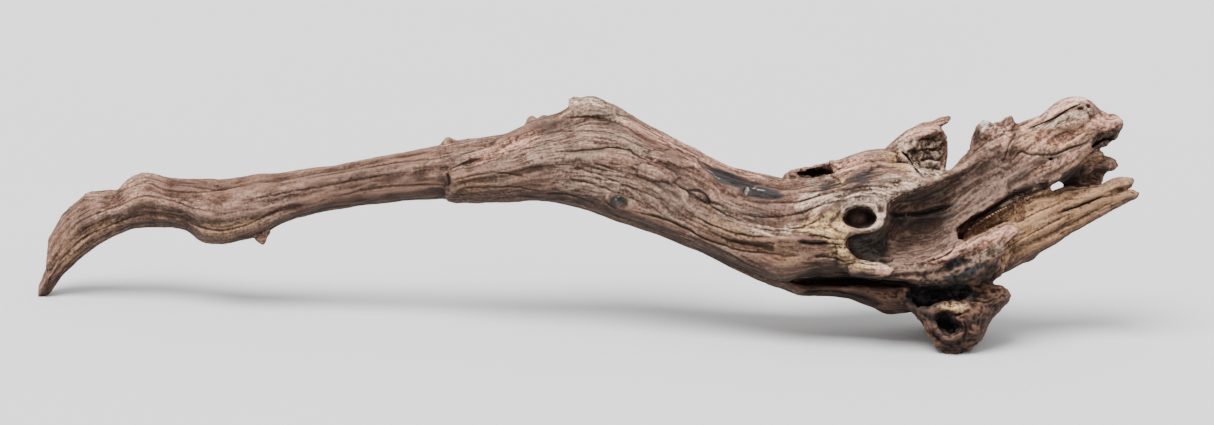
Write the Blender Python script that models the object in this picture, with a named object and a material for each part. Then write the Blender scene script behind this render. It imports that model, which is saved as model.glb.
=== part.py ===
"""A piece of driftwood about 0.88 m long, one grown and weathered piece of wood.

It is drawn in its front view, in millimetres: x runs right from the thin tip, h runs up from the lowest
point and d runs out of the view towards the viewer. A limb is a loft through upright sections. The limbs
are fused and smoothed, the hollows are cut out of them, ridges and furrows are pressed into the skin, and
the whole is turned until its tip and its two root feet stand on one level.
"""

import math

import bmesh
import bpy
import numpy as np
from mathutils import Matrix, Vector, noise

# Driving dimensions and settings
MM = 0.001
VIEW_ELEVATION = math.radians(15.0)
VIEW_ROLL = math.radians(2.14)
RING_STEP = 3.0
SIDES = 48
VOXEL = 2.0
TRIANGLES = 11400
FOOT_WEAR = 1.5
KNOB_SPACING = 20.0
TRUNK_KNOBS = 1.2
ROOT_KNOBS = 5.0
ROOT_START = 620.0
ROOT_TOP = 75.0

# Ridges along a limb: waves round it, height as a share of its radius, twist per millimetre
FLUTES = ((3, 0.05, 0.006), (5, 0.045, -0.008), (8, 0.032, 0.011), (13, 0.018, -0.010))

# A limb has its squareness (1 is round) and its stations: x, low edge, high edge, depth of the centre,
# half thickness.

LIMBS = {
    "leader": (1.0, [
        (0.5, 44.5, 50.5, -43, 3), (5, 44, 65.5, -43, 6.5), (9.5, 49, 91, -41.5, 9.5),
        (14.5, 57, 102.5, -40, 12), (19, 62, 110, -38.5, 13.5), (25.5, 68.5, 119, -37, 15),
        (33.5, 76.5, 125.5, -34.5, 17), (43, 84, 130, -32, 17.5), (53, 90.5, 131.5, -30.5, 17.5),
        (62.5, 94.5, 132.5, -29, 18.5), (69, 97, 138, -28, 20), (75, 99, 143, -27, 21.5),
        (86.5, 100, 147, -25.5, 21.5), (97.5, 101, 144.5, -23, 21.5), (107, 101, 141, -21, 20),
        (117, 99, 141, -19, 20), (129.5, 89, 141, -16, 22.5), (145.5, 86.5, 139.5, -13.5, 23),
        (161.5, 90, 142.5, -11, 22.5), (176, 93, 145, -9.5, 21), (193.5, 101, 145, -8, 20),
        (209.5, 108.5, 147.5, -6.5, 19), (233.5, 114, 151, -4, 18.5), (257.5, 118, 155, -2.5, 18),
        (281.5, 121, 160, -1, 18.5), (305.5, 123, 164, 1.5, 20), (321.5, 123.5, 167, 3, 21),
        (337.5, 123, 171, 5, 21), (353.5, 125.5, 174, 5, 21), (369.5, 130.5, 176, 5, 21),
        (385.5, 137, 181.5, 4, 20), (405.5, 142.5, 190, 3, 20), (417.5, 146.5, 193.5, 2.5, 18.5),
        (429.5, 150.5, 200.5, 2.5, 17), (441.5, 154.5, 206.5, 2.5, 15), (457.5, 155, 202.5, 1.5, 13.5),
        (481.5, 149, 188, 0, 12), (513.5, 133, 171, 0, 10.5), (545.5, 121, 154, 0, 7),
    ]),
    "trunk": (1.0, [
        (326.5, 123, 147, 9.5, 14.5), (329.5, 121, 152, 10.5, 20), (345.5, 121, 160, 10.5, 25),
        (361.5, 121, 165.5, 10.5, 28), (377.5, 121.5, 171, 10.5, 30.5), (393.5, 122.5, 177, 10.5, 32),
        (409.5, 122, 182.5, 10.5, 33.5), (425.5, 119, 187, 10.5, 35), (441.5, 114.5, 192, 10.5, 37),
        (465.5, 105.5, 192, 10.5, 38.5), (489.5, 97.5, 183, 10.5, 39), (513.5, 87.5, 171, 10.5, 39),
        (529.5, 81, 162.5, 10.5, 39), (545.5, 73.5, 154, 10.5, 40), (561.5, 66, 148, 10.5, 41),
        (577.5, 58.5, 144.5, 11, 41.5), (593.5, 53, 141, 12, 43), (609.5, 55, 140.5, 13, 45),
        (625.5, 59, 141.5, 13.5, 46.5), (641.5, 60, 145.5, 14.5, 47), (657.5, 60, 151, 14.5, 48),
        (673.5, 59, 153.5, 14.5, 49), (689.5, 57, 153, 14.5, 49), (705.5, 53, 150.5, 14.5, 48),
        (721.5, 50.5, 146.5, 13.5, 46.5), (737.5, 50.5, 150.5, 12, 43), (753.5, 53, 161.5, 9.5, 37.5),
        (769.5, 60, 163, 6.5, 29.5), (781.5, 73, 151, 4, 19),
    ]),
    "root_flare": (0.75, [
        (584, 56.5, 73.5, 4, 14.5), (597.5, 51.5, 73.5, 4, 24), (609.5, 47, 73.5, 3, 29),
        (633.5, 46.5, 73.5, 1.5, 34.5), (649.5, 45, 73.5, 0, 37), (665.5, 38.5, 72, -1.5, 37.5),
        (681.5, 33, 72, -1.5, 37.5), (696, 34, 72, -1.5, 37), (709.5, 30.5, 72, 0, 35),
        (725.5, 27, 70.5, -1, 32), (739, 29, 67, -1.5, 28), (752, 35, 64, -2.5, 22.5),
        (761.5, 43, 61, -3, 13),
    ]),
    "front_foot": (0.85, [
        (697.5, 33, 51, 17.5, 14.5), (707, 25.5, 53, 21, 17.5), (713.5, 15, 54.5, 22.5, 19),
        (721.5, 4, 54.5, 24, 21), (729.5, -1, 54.5, 24, 21), (739, 1.5, 54.5, 23, 21),
        (747, 5, 55, 21.5, 20), (752, 8, 55, 20, 19), (756, 15, 56, 18.5, 18.5),
        (761.5, 26.5, 56, 17.5, 17.5), (766.5, 32, 55, 16, 16), (771, 38.5, 54.5, 16, 13),
        (775, 42.5, 53, 16, 9), (777.5, 45, 50.5, 16, 4),
    ]),
    "back_foot": (0.85, [
        (683, 46.5, 69, -24, 13), (696, 38.5, 70.5, -27, 17.5), (707, 28, 70.5, -31, 20),
        (720, 18.5, 70.5, -34.5, 20), (731, 16.5, 70.5, -35, 19), (742.5, 18.5, 70.5, -34.5, 17.5),
        (753.5, 30.5, 72, -29.5, 14.5), (765, 46.5, 73.5, -23, 8),
    ]),
    "upper_arm": (0.8, [
        (665.5, 91, 131, -6.5, 17.5), (689.5, 86.5, 137.5, -8, 21), (713.5, 89, 141.5, -8, 22.5),
        (729.5, 97, 145, -6.5, 22.5), (739, 102.5, 152.5, -5, 22.5), (745.5, 107, 161, -4, 22.5),
        (753.5, 111.5, 168, -2.5, 21.5), (769.5, 122, 179, 0, 21), (785.5, 131, 185, 2.5, 20),
        (801.5, 137.5, 190, 5, 20), (811, 141.5, 197.5, 6.5, 20), (821, 147, 205, 7, 20),
        (830.5, 155, 206, 8, 19), (840, 163.5, 204, 8, 18.5), (846.5, 165.5, 200, 8, 17.5),
        (853, 167, 195.5, 8, 16), (859, 169.5, 193, 8, 14.5), (864, 173.5, 192, 8, 11),
        (868, 178.5, 189.5, 8, 6.5),
    ]),
    "lower_arm": (0.7, [
        (689.5, 55, 73.5, -14.5, 16), (713.5, 54.5, 80, -14.5, 19), (729.5, 53.5, 86.5, -14.5, 20),
        (749.5, 55, 101, -13.5, 20), (769.5, 63.5, 114.5, -12, 19), (785.5, 71.5, 120, -10.5, 18.5),
        (801.5, 81, 124, -9, 17.5), (817.5, 90.5, 129, -7, 16), (833.5, 99.5, 133, -5.5, 14.5),
        (849.5, 108, 136, -4, 13), (861, 115, 140, -3, 11), (870.5, 120, 142, -2.5, 9.5),
        (877, 122.5, 141, -1.5, 9), (882.5, 124, 135, -1.5, 5.5),
    ]),
    "middle_arm": (0.75, [
        (769.5, 112, 163, -21, 13), (785.5, 117.5, 163, -19, 13.5), (801.5, 123, 163, -17.5, 14.5),
        (806.5, 126.5, 162.5, -17.5, 14.5), (811, 134.5, 161.5, -17.5, 13.5),
        (819, 137.5, 161, -17.5, 13.5), (825.5, 131, 161.5, -17.5, 13.5),
        (837.5, 130.5, 162.5, -16, 13), (846.5, 133, 161.5, -14.5, 11), (853, 136, 158.5, -13, 9.5),
        (859, 144, 158, -11, 7), (865.5, 148, 155, -10.5, 4),
    ]),
    "splinter": (0.7, [
        (806.5, 142.5, 152, 13, 6.5), (817.5, 145.5, 156, 12, 7), (827, 150.5, 160, 10.5, 6.5),
        (837.5, 154.5, 163, 9, 5.5), (845.5, 157, 163.5, 8, 5), (853, 157.5, 161, 7, 2.5),
    ]),
    "window_sill": (0.8, [
        (801.5, 138.5, 142.5, 0, 11), (809.5, 139, 147, -1.5, 11), (821, 139.5, 149, -3, 9.5),
        (833.5, 139, 150.5, -6.5, 9.5),
    ]),
    "lip": (0.85, [
        (649.5, 56, 73.5, 36, 16), (665.5, 56, 72, 40, 17.5), (681.5, 55, 73.5, 41.5, 17.5),
        (697.5, 54.5, 74.5, 40, 17.5), (713.5, 53.5, 77, 38.5, 17), (729.5, 53.5, 83, 37, 16),
        (745.5, 55, 90.5, 35, 15), (757.5, 59, 96, 33.5, 13.5), (766.5, 67, 101, 32, 12),
        (772, 77, 103, 30.5, 9.5), (777.5, 86.5, 104, 29, 7), (783.5, 94.5, 101.5, 28, 3),
    ]),
    "stub": (0.75, [
        (669, 135, 157, -9.5, 9.5), (677, 135, 163, -10.5, 13.5), (683, 135, 169, -11, 16),
        (689.5, 134.5, 174.5, -11, 18.5), (697.5, 133.5, 179.5, -11, 20), (705.5, 133.5, 182, -11, 21),
        (713.5, 134.5, 183, -11, 20), (720, 137, 182.5, -11, 17.5), (724, 141, 179, -11, 14.5),
        (727.5, 155, 173.5, -11, 7),
    ]),
    "stub_twig": (1.0, [
        (701, 176, 182.5, -11, 6.5), (709, 177.5, 184, -11, 5), (715, 179.5, 187, -11, 4),
        (721.5, 182.5, 189, -11, 3), (726.5, 184.5, 191, -11, 3), (731, 186, 190.5, -11, 2.5),
    ]),
    "shoulder_knob": (1.0, [
        (744, 150.5, 165, 4, 5.5), (749, 153.5, 178.5, 4, 7), (753, 153.5, 185.5, 4, 8),
        (757, 155, 188, 4, 8), (761, 157, 186.5, 4, 8), (765, 163, 181.5, 4, 5.5),
    ]),
    "shoulder_chip": (1.0, [
        (761.5, 165, 181.5, 6.5, 6.5), (766.5, 168, 187, 6.5, 8), (772, 169.5, 189, 6.5, 7),
        (777, 173, 191.5, 6.5, 6.5), (781, 177.5, 191, 6.5, 5),
    ]),
    "bark_flake": (0.8, [
        (596, 137, 141, -4, 8), (603, 137, 146.5, -6.5, 16), (616, 135, 149, -8, 22.5),
        (629, 134.5, 152, -8, 25.5), (641.5, 134.5, 155, -8, 27), (654.5, 134.5, 160, -8, 29),
        (665.5, 134.5, 163, -8, 29), (677, 134.5, 164, -8, 27), (686.5, 136, 161.5, -8, 21),
    ]),
    "spur": (1.0, [
        (323, 169.5, 173, 6.5, 2.5), (327, 165.5, 175, 6.5, 4), (333.5, 162.5, 172.5, 6.5, 5),
        (342.5, 161, 171, 6.5, 5), (352, 161.5, 172, 6.5, 3),
    ]),
    "twin_nub_a": (1.0, [
        (390.5, 179, 189.5, 2.5, 2.5), (393.5, 179, 192, 2.5, 3), (396, 179, 191, 2.5, 3),
        (398.5, 179, 187, 2.5, 2.5),
    ]),
    "twin_nub_b": (1.0, [
        (399, 182.5, 189.5, 0, 2.5), (401.5, 182.5, 192, 0, 3), (405, 182.5, 191, 0, 3),
        (409, 184, 188, 0, 2.5),
    ]),
    "crest_cap": (1.0, [
        (424.5, 201.5, 205, 2.5, 2.5), (428, 195, 206.5, 2.5, 5), (433.5, 192, 205, 2.5, 6.5),
        (441.5, 190.5, 207, 2.5, 7), (448, 189, 205.5, 2.5, 7), (456, 189, 201, 1.5, 5.5),
    ]),
    "thorn": (1.0, [
        (172, 91, 97, -8, 3), (176, 87.5, 99, -8, 5), (179, 87, 101, -8, 4.5),
        (182.5, 93, 102.5, -8, 4), (185.5, 97.5, 103, -8, 3),
    ]),
}

# Hollows are cut out of the fused limbs; a core stands inside its hole afterwards.

HOLLOWS = {
    "hollow": [
        (645.5, 85.5, 93, 56, 11), (649.5, 81, 95, 57.5, 17.5), (659, 76, 96.5, 60, 24),
        (669, 73, 98.5, 61.5, 29.5), (674.5, 72, 102.5, 62.5, 34.5), (678.5, 72, 112, 62.5, 38.5),
        (682.5, 72, 124, 62.5, 41.5), (693, 73, 129.5, 62.5, 45.5), (707, 75, 136, 62.5, 48),
        (718.5, 78.5, 141, 62.5, 48), (731, 84, 157, 62.5, 46.5), (745.5, 91, 171, 61, 43),
        (761.5, 100, 187, 59, 40), (777.5, 109, 197, 57.5, 37), (793.5, 126.5, 193.5, 56, 29.5),
    ],
    "arm_dish": [
        (784, 155, 173, 41.5, 13), (797.5, 157, 179, 41.5, 17.5), (813.5, 159, 181, 43, 20),
        (827, 163, 184, 43, 19), (838.5, 168, 189, 41.5, 14.5),
    ],
    "shelf_slot": [
        (598.5, 58.5, 60.5, 49.5, 8), (603, 55, 61.5, 49.5, 22.5), (614.5, 52, 63, 49.5, 30.5),
        (633.5, 52, 63, 49.5, 33.5), (653.5, 53, 62.5, 49.5, 32), (673.5, 53.5, 60, 49.5, 29),
        (689.5, 53.5, 58.5, 49.5, 25.5), (701.5, 53, 57, 48, 21),
    ],
    "char_hollow": [
        (691, 47, 53, 49.5, 13), (701.5, 41, 54.5, 49.5, 27), (717.5, 41, 55, 49.5, 30.5),
        (731, 43, 56, 49.5, 29), (742.5, 46.5, 56, 49.5, 24), (750.5, 49.5, 53.5, 49.5, 13),
    ],
    "foot_hole": [
        (713.5, 25, 29, 51, 9.5), (718.5, 19, 33.5, 51, 25.5), (725.5, 15, 33.5, 51, 30.5),
        (733, 16, 29.5, 51, 27), (739, 19, 25.5, 51, 11),
    ],
    "foot_slit": [
        (725, 32, 33.5, 51, 6.5), (729.5, 31.5, 35, 49.5, 13), (735, 31, 35, 49.5, 13),
        (742.5, 32, 34.5, 48, 6.5),
    ],
    "flake_gap": [
        (606.5, 142.5, 145.5, 16, 11), (614.5, 141, 148, 16, 21), (624, 141, 149, 14.5, 22.5),
        (633.5, 141.5, 149, 13, 17.5), (638.5, 144, 147, 11, 6.5),
    ],
    "knot_hole": [
        (643, 105.5, 112, 70.5, 19), (645.5, 102.5, 116, 70.5, 27), (650.5, 100, 117.5, 70.5, 32),
        (657, 99, 117.5, 70.5, 33), (663, 100, 116.5, 70.5, 32), (668, 102.5, 113.5, 70.5, 27),
        (670.5, 105.5, 110.5, 70.5, 19),
    ],
    "sheet_slot": [
        (733.5, 95, 100, 27, 9.5), (741.5, 98.5, 105.5, 27, 19), (751, 104, 112, 25.5, 25.5),
        (765, 113, 120.5, 22.5, 27), (779, 121.5, 130, 21, 27), (792, 123, 134.5, 19, 25.5),
        (803, 125, 137.5, 17.5, 22.5),
    ],
    "window": [
        (806.5, 129, 131, 0, 24), (810.5, 129, 137, 0, 56), (815, 129, 139, 0, 72),
        (820, 130.5, 139.5, 0, 72), (825, 135, 139, 0, 48),
    ],
    "arm_gap": [
        (830.5, 133, 137.5, 6.5, 8), (838.5, 134.5, 145.5, 6.5, 13), (846.5, 136, 150.5, 5, 16),
        (854.5, 138.5, 149, 3, 19), (862.5, 141.5, 145.5, 1.5, 19), (869, 142.5, 144, 1.5, 16),
    ],
    "plank_split": [
        (833, 117.5, 119.5, 8, 8), (846.5, 123, 125, 8, 13), (855, 126, 129, 6.5, 14.5),
        (863, 128.5, 131.5, 3, 16), (871, 130, 135, 0, 21), (884, 130, 137, 0, 21),
    ],
    "tip_hollow": [
        (843, 169.5, 173.5, 24, 6.5), (849, 169, 178, 24, 11), (857, 170.5, 179, 22.5, 12),
        (865, 173.5, 179.5, 21, 11),
    ],
    "stub_face": [
        (690.5, 161, 163, 16, 5), (698.5, 152, 166.5, 14.5, 11), (705.5, 143, 171, 13, 16),
        (713.5, 139, 178.5, 11, 18.5), (721.5, 141, 181, 9.5, 20), (731, 142.5, 184, 8, 22.5),
    ],
    "back_split": [
        (465.5, 161, 163, -40, 5), (485.5, 155, 161.5, -41.5, 11), (513.5, 144, 153, -41.5, 14.5),
        (541.5, 129.5, 139, -41.5, 16), (569.5, 119, 126.5, -43, 14.5),
        (589.5, 114.5, 118.5, -43, 6.5),
    ],
    "back_knot": [
        (619, 112, 118.5, -48, 11), (623, 106.5, 124, -48, 21), (630.5, 103, 126.5, -48, 25.5),
        (637.5, 105.5, 124, -48, 23), (642.5, 111, 118.5, -48, 11),
    ],
    "back_cave": [
        (670.5, 83, 91, -56, 9.5), (680, 73.5, 101, -56, 27), (693.5, 67, 109, -56, 33.5),
        (709.5, 69, 113.5, -54.5, 33.5), (725.5, 77, 117, -53, 30.5), (741.5, 91, 120, -51, 22.5),
        (753.5, 105.5, 117, -49.5, 9.5),
    ],
}

CORES = {
    "knot": [
        (645, 106.5, 110.5, 40, 3), (649, 102.5, 114.5, 38.5, 7), (654.5, 100.5, 116, 37.5, 9.5),
        (660, 101.5, 115, 37, 9), (665, 105, 113, 35, 5),
    ],
    "back_knot_core": [
        (622.5, 113, 117, -19, 4), (626.5, 108, 121.5, -20, 7), (632, 106.5, 123, -20, 9),
        (637.5, 110.5, 119, -19, 5),
    ],
}

# Furrows and ridges of the skin: side (+1 front, -1 back), half width, height (below zero a furrow), points.
STROKES = [
    (1, 5, -2.0, [(410, 161), (431, 162), (447, 163.5), (459, 165), (473, 162.5), (490, 152)]),
    (1, 4, 1.6, [(328, 147), (362, 163), (378, 173.5), (418, 185.5)]),
    (1, 6, -1.8, [(334, 138), (370, 151), (404, 157), (430, 156)]),
    (1, 5, -2.2, [(405, 129), (422, 128), (436, 124), (450, 118.5)]),
    (1, 4, -2.4, [(506, 138.5), (522, 129), (535, 120.5), (550, 112)]),
    (1, 4, 1.8, [(478, 146), (495, 144), (510, 139.5), (524, 133)]),
    (1, 4, -2.6, [(470, 116), (497, 109), (518, 100.5), (546, 87.5), (564, 82.5), (586, 80), (601, 77.5)]),
    (1, 7, 2.0, [(480, 128), (520, 112), (560, 98), (600, 93), (640, 96)]),
    (1, 7, -1.6, [(540, 135), (580, 122), (620, 118), (655, 121)]),
    (1, 6, 1.6, [(560, 130), (600, 130), (640, 133), (680, 137), (706, 140)]),
    (1, 5, -1.6, [(600, 125), (640, 128), (690, 131)]),
    (1, 5, -2.0, [(60, 122), (90, 127), (112, 122), (134, 124), (160, 127)]),
    (1, 5, 1.8, [(40, 116), (75, 118), (105, 113), (130, 116), (165, 120), (200, 126)]),
    (1, 5, -2.0, [(20, 94), (45, 105), (85, 108), (120, 103), (150, 105), (190, 115)]),
    (1, 4, 1.4, [(12, 76), (30, 92), (50, 99)]),
    (1, 5, -1.4, [(200, 124), (240, 133), (290, 142), (330, 152)]),
    (1, 5, 1.4, [(210, 136), (260, 144), (310, 152)]),
    (1, 6, 2.2, [(728, 128), (752, 146), (780, 166), (806, 180), (830, 188)]),
    (1, 5, -2.0, [(745, 130), (775, 152), (800, 168)]),
    (1, 4, -2.4, [(795, 181), (808, 186), (824, 195), (832, 199.5), (840, 202)]),
    (1, 4, -2.0, [(740, 92), (760, 106), (785, 123)]),
    (1, 4, 1.6, [(776, 98), (800, 106), (830, 122), (860, 134)]),
    (1, 4, -1.8, [(770, 84), (795, 96), (825, 112), (850, 124)]),
    (-1, 7, 2.2, [(420, 165), (470, 150), (520, 130), (580, 118), (640, 122), (700, 130)]),
    (-1, 6, -2.2, [(400, 140), (450, 132), (500, 112), (560, 92), (620, 84), (690, 92)]),
    (-1, 6, 1.8, [(380, 150), (430, 146), (490, 128)]),
    (-1, 5, -2.0, [(60, 120), (100, 126), (150, 118), (200, 126), (260, 136), (330, 148)]),
    (-1, 5, 1.8, [(40, 106), (90, 114), (140, 106), (190, 112), (240, 124)]),
    (-1, 6, -2.2, [(700, 140), (740, 135), (780, 150), (820, 175)]),
    (-1, 6, 2.0, [(720, 115), (760, 128), (800, 152), (835, 180)]),
    (-1, 5, -2.0, [(740, 80), (790, 100), (840, 122)]),
]


def smooth_column(xs, ys, at):
    """Values of a smooth curve that passes through the stations and doesn't overshoot them."""
    secant = np.diff(ys) / np.diff(xs)
    slope = np.zeros(len(xs))
    left, right = secant[:-1], secant[1:]
    same_way = left * right > 0
    slope[1:-1][same_way] = 2 * left[same_way] * right[same_way] / (left + right)[same_way]
    slope[0], slope[-1] = secant[0], secant[-1]
    i = np.clip(np.searchsorted(xs, at, side="right") - 1, 0, len(xs) - 2)
    step = xs[i + 1] - xs[i]
    t = (at - xs[i]) / step
    start = ys[i] * (1 + 2 * t) * (1 - t) ** 2 + slope[i] * step * t * (1 - t) ** 2
    return start + ys[i + 1] * t * t * (3 - 2 * t) + slope[i + 1] * step * t * t * (t - 1)


def flutes(theta, x, phase):
    """Long low ridges that wind slowly round a limb, as a share of its radius."""
    relief = np.zeros_like(theta)
    for waves, share, twist in FLUTES:
        relief += share * np.cos(waves * theta + phase * waves + twist * x)
    return relief


def loft(name, stations, squareness=1.0, phase=None):
    """A closed tube through upright sections. A phase gives it flutes."""
    table = np.array(stations, float)
    xs = table[:, 0]
    count = max(3, int(math.ceil((xs[-1] - xs[0]) / RING_STEP)) + 1)
    at = np.linspace(xs[0], xs[-1], count)
    low, high, depth, half = (smooth_column(xs, table[:, c], at) for c in range(1, 5))
    theta = np.linspace(0, 2 * math.pi, SIDES, endpoint=False)
    across, upright = np.cos(theta), np.sin(theta)
    across = np.sign(across) * np.abs(across) ** squareness
    upright = np.sign(upright) * np.abs(upright) ** squareness
    mesh = bmesh.new()
    rings = []
    for x, lo, hi, d, thick in zip(at, low, high, depth, half):
        radius = 1 + (flutes(theta, x, phase) if phase is not None else 0)
        out = radius * across * thick + d
        up = radius * upright
        up = lo + (hi - lo) * (up - up.min()) / (up.max() - up.min())
        rings.append([mesh.verts.new((x * MM, -o * MM, u * MM)) for o, u in zip(out, up)])
    for a, b in zip(rings, rings[1:]):
        for k in range(SIDES):
            nxt = (k + 1) % SIDES
            mesh.faces.new((a[k], b[k], b[nxt], a[nxt]))
    mesh.faces.new(rings[0])
    mesh.faces.new(reversed(rings[-1]))
    bmesh.ops.recalc_face_normals(mesh, faces=mesh.faces)
    return placed(name, mesh)


def placed(name, mesh):
    """Puts a finished mesh into the scene as an object."""
    data = bpy.data.meshes.new(name)
    mesh.to_mesh(data)
    mesh.free()
    obj = bpy.data.objects.new(name, data)
    bpy.context.scene.collection.objects.link(obj)
    return obj


def applied(obj):
    """Replaces an object's mesh by what its modifiers make of it."""
    graph = bpy.context.evaluated_depsgraph_get()
    data = bpy.data.meshes.new_from_object(obj.evaluated_get(graph))
    obj.modifiers.clear()
    obj.data = data
    return obj


def joined(objects, name):
    """One object that holds the meshes of several."""
    mesh = bmesh.new()
    for obj in objects:
        mesh.from_mesh(obj.data)
        bpy.data.objects.remove(obj)
    return placed(name, mesh)


def fused(obj, passes):
    """Joins overlapping shells to one skin and rounds its creases."""
    remesh = obj.modifiers.new("fuse", "REMESH")
    remesh.mode = "VOXEL"
    remesh.voxel_size = VOXEL * MM
    worn = obj.modifiers.new("wear", "SMOOTH")
    worn.factor = 0.5
    worn.iterations = passes
    return applied(obj)


def cut(obj, cutters):
    """Takes the cutters out of the object."""
    for cutter in cutters:
        hole = obj.modifiers.new(cutter.name, "BOOLEAN")
        hole.operation = "DIFFERENCE"
        hole.solver = "MANIFOLD"
        hole.object = cutter
    applied(obj)
    for cutter in cutters:
        bpy.data.objects.remove(cutter)
    return obj


def skin(obj):
    """Points of the skin in millimetres of the front view, and their normals."""
    count = len(obj.data.vertices)
    points = np.empty(count * 3)
    normals = np.empty(count * 3)
    obj.data.vertices.foreach_get("co", points)
    obj.data.vertex_normals.foreach_get("vector", normals)
    return points.reshape(-1, 3) / MM, normals.reshape(-1, 3)


def stroke_height(points, facing, stroke):
    """How far one stroke lifts each point of the skin on its own side."""
    side, width, height, line = stroke
    path = np.array(line, float)
    flat = points[:, (0, 2)]
    nearest = np.full(len(points), 1e9)
    for a, b in zip(path, path[1:]):
        run = b - a
        t = np.clip(((flat - a) @ run) / (run @ run), 0, 1)
        nearest = np.minimum(nearest, np.hypot(*(flat - a - t[:, None] * run).T))
    profile = np.clip(1 - (nearest / width) ** 2, 0, 1) ** 2
    return height * profile * np.clip(side * facing * 3, 0, 1)


def sculpted(obj):
    """Presses ridges and furrows into the skin, and gives the root its knobbly surface."""
    points, normals = skin(obj)
    facing = -normals[:, 1]
    lift = sum(stroke_height(points, facing, stroke) for stroke in STROKES)
    knobs = np.array([noise.noise(Vector(p / KNOB_SPACING)) for p in points])
    along = np.clip((points[:, 0] - ROOT_START) / 100, 0, 1)
    down = np.clip((ROOT_TOP - points[:, 2]) / 25, 0, 1)
    lift += knobs * (TRUNK_KNOBS + (ROOT_KNOBS - TRUNK_KNOBS) * along * down)
    moved = (points + normals * lift[:, None]) * MM
    obj.data.vertices.foreach_set("co", moved.ravel())
    obj.data.update()
    return obj


def thinned(obj):
    """Fewer triangles where the skin is flat."""
    obj.data.calc_loop_triangles()
    fewer = obj.modifiers.new("thin", "DECIMATE")
    fewer.ratio = TRIANGLES / len(obj.data.loop_triangles)
    return applied(obj)


def stand(obj):
    """Turns the front view upright, wears the feet flat and puts the middle of the box over the origin."""
    obj.data.transform(Matrix.Rotation(-VIEW_ELEVATION, 4, "X") @ Matrix.Rotation(-VIEW_ROLL, 4, "Y"))
    floor = Vector((0, 0, min(v.co.z for v in obj.data.vertices) + FOOT_WEAR * MM))
    down = Vector((0, 0, -1))
    mesh = bmesh.new()
    mesh.from_mesh(obj.data)
    whole = mesh.verts[:] + mesh.edges[:] + mesh.faces[:]
    bmesh.ops.bisect_plane(mesh, geom=whole, plane_co=floor, plane_no=down, clear_outer=True)
    soles = bmesh.ops.holes_fill(mesh, edges=[e for e in mesh.edges if e.is_boundary])
    bmesh.ops.triangulate(mesh, faces=soles["faces"])
    mesh.to_mesh(obj.data)
    mesh.free()
    points = np.array([v.co for v in obj.data.vertices])
    low, high = points.min(0), points.max(0)
    middle = (low + high) / 2
    obj.data.transform(Matrix.Translation((-middle[0], -middle[1], -low[2])))
    return obj


def weathered_wood():
    """Dull brown wood with no finish on it."""
    material = bpy.data.materials.new("driftwood")
    material.use_nodes = True
    shader = material.node_tree.nodes["Principled BSDF"]
    shader.inputs["Base Color"].default_value = (0.30, 0.21, 0.16, 1.0)
    shader.inputs["Roughness"].default_value = 0.85
    shader.inputs["Metallic"].default_value = 0.0
    return material


def main():
    for obj in list(bpy.data.objects):
        bpy.data.objects.remove(obj)
    limbs = [
        loft(name, rows, squareness, phase=1.7 * i)
        for i, (name, (squareness, rows)) in enumerate(LIMBS.items())
    ]
    wood = fused(joined(limbs, "driftwood"), passes=5)
    cut(wood, [loft(name, rows) for name, rows in HOLLOWS.items()])
    cores = [loft(name, rows) for name, rows in CORES.items()]
    wood = fused(joined([wood] + cores, "driftwood"), passes=2)
    sculpted(wood)
    thinned(wood)
    stand(wood)
    wood.data.materials.append(weathered_wood())
    wood.data.shade_smooth()


main()
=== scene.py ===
import math

import bmesh
import bpy
import numpy as np
from mathutils import Matrix, Vector


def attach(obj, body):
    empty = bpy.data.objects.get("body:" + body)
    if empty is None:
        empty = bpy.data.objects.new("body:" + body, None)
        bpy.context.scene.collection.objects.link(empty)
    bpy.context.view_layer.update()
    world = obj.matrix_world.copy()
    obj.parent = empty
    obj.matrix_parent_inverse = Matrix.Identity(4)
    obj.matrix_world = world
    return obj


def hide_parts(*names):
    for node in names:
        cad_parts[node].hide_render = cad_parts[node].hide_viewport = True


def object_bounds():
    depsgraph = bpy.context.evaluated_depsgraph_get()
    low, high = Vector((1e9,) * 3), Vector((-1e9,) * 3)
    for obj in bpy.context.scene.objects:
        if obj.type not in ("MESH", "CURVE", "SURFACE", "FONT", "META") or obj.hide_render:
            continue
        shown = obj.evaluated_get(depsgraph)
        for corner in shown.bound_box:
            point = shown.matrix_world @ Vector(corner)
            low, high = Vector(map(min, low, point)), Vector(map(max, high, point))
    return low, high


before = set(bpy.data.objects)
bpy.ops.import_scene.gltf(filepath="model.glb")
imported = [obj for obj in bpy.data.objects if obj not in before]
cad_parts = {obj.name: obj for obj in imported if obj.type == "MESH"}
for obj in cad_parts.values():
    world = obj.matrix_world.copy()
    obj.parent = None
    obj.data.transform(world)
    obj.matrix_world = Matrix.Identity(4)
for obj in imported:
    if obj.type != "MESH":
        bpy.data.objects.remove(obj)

# A piece of weathered driftwood. The solid's own limbs and hollows are built again, finer, in the same
# place. Then the grain, cracks, plates, pits and stains of the photograph are worked into their skin.
# Lengths are in millimetres where nothing else is said.

CAD_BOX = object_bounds()

# The front view, in millimetres: x right from the tip, h up, d towards the viewer
MM = 0.001
VIEW_ELEVATION = math.radians(15.0)
VIEW_ROLL = math.radians(2.14)
VIEW_ORIGIN = Vector((-438.233, -23.649, -34.604)) * MM
TURN = Matrix.Rotation(-VIEW_ELEVATION, 3, "X") @ Matrix.Rotation(-VIEW_ROLL, 3, "Y")

# The camera: the image in pixels, millimetres to a pixel, the pixel column and row where x and h are 0, its
# distance, the depth it looks at, its sensor, and how far it sees in metres
IMAGE_SIZE = (1214, 425)
PIXEL = 0.8
IMAGE_LEFT, IMAGE_BASE = 38.0, 354.0
CAMERA_DISTANCE = 14000.0
TARGET_DEPTH = 10.0
SENSOR = 36.0
CLIP_END = 50.0

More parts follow.
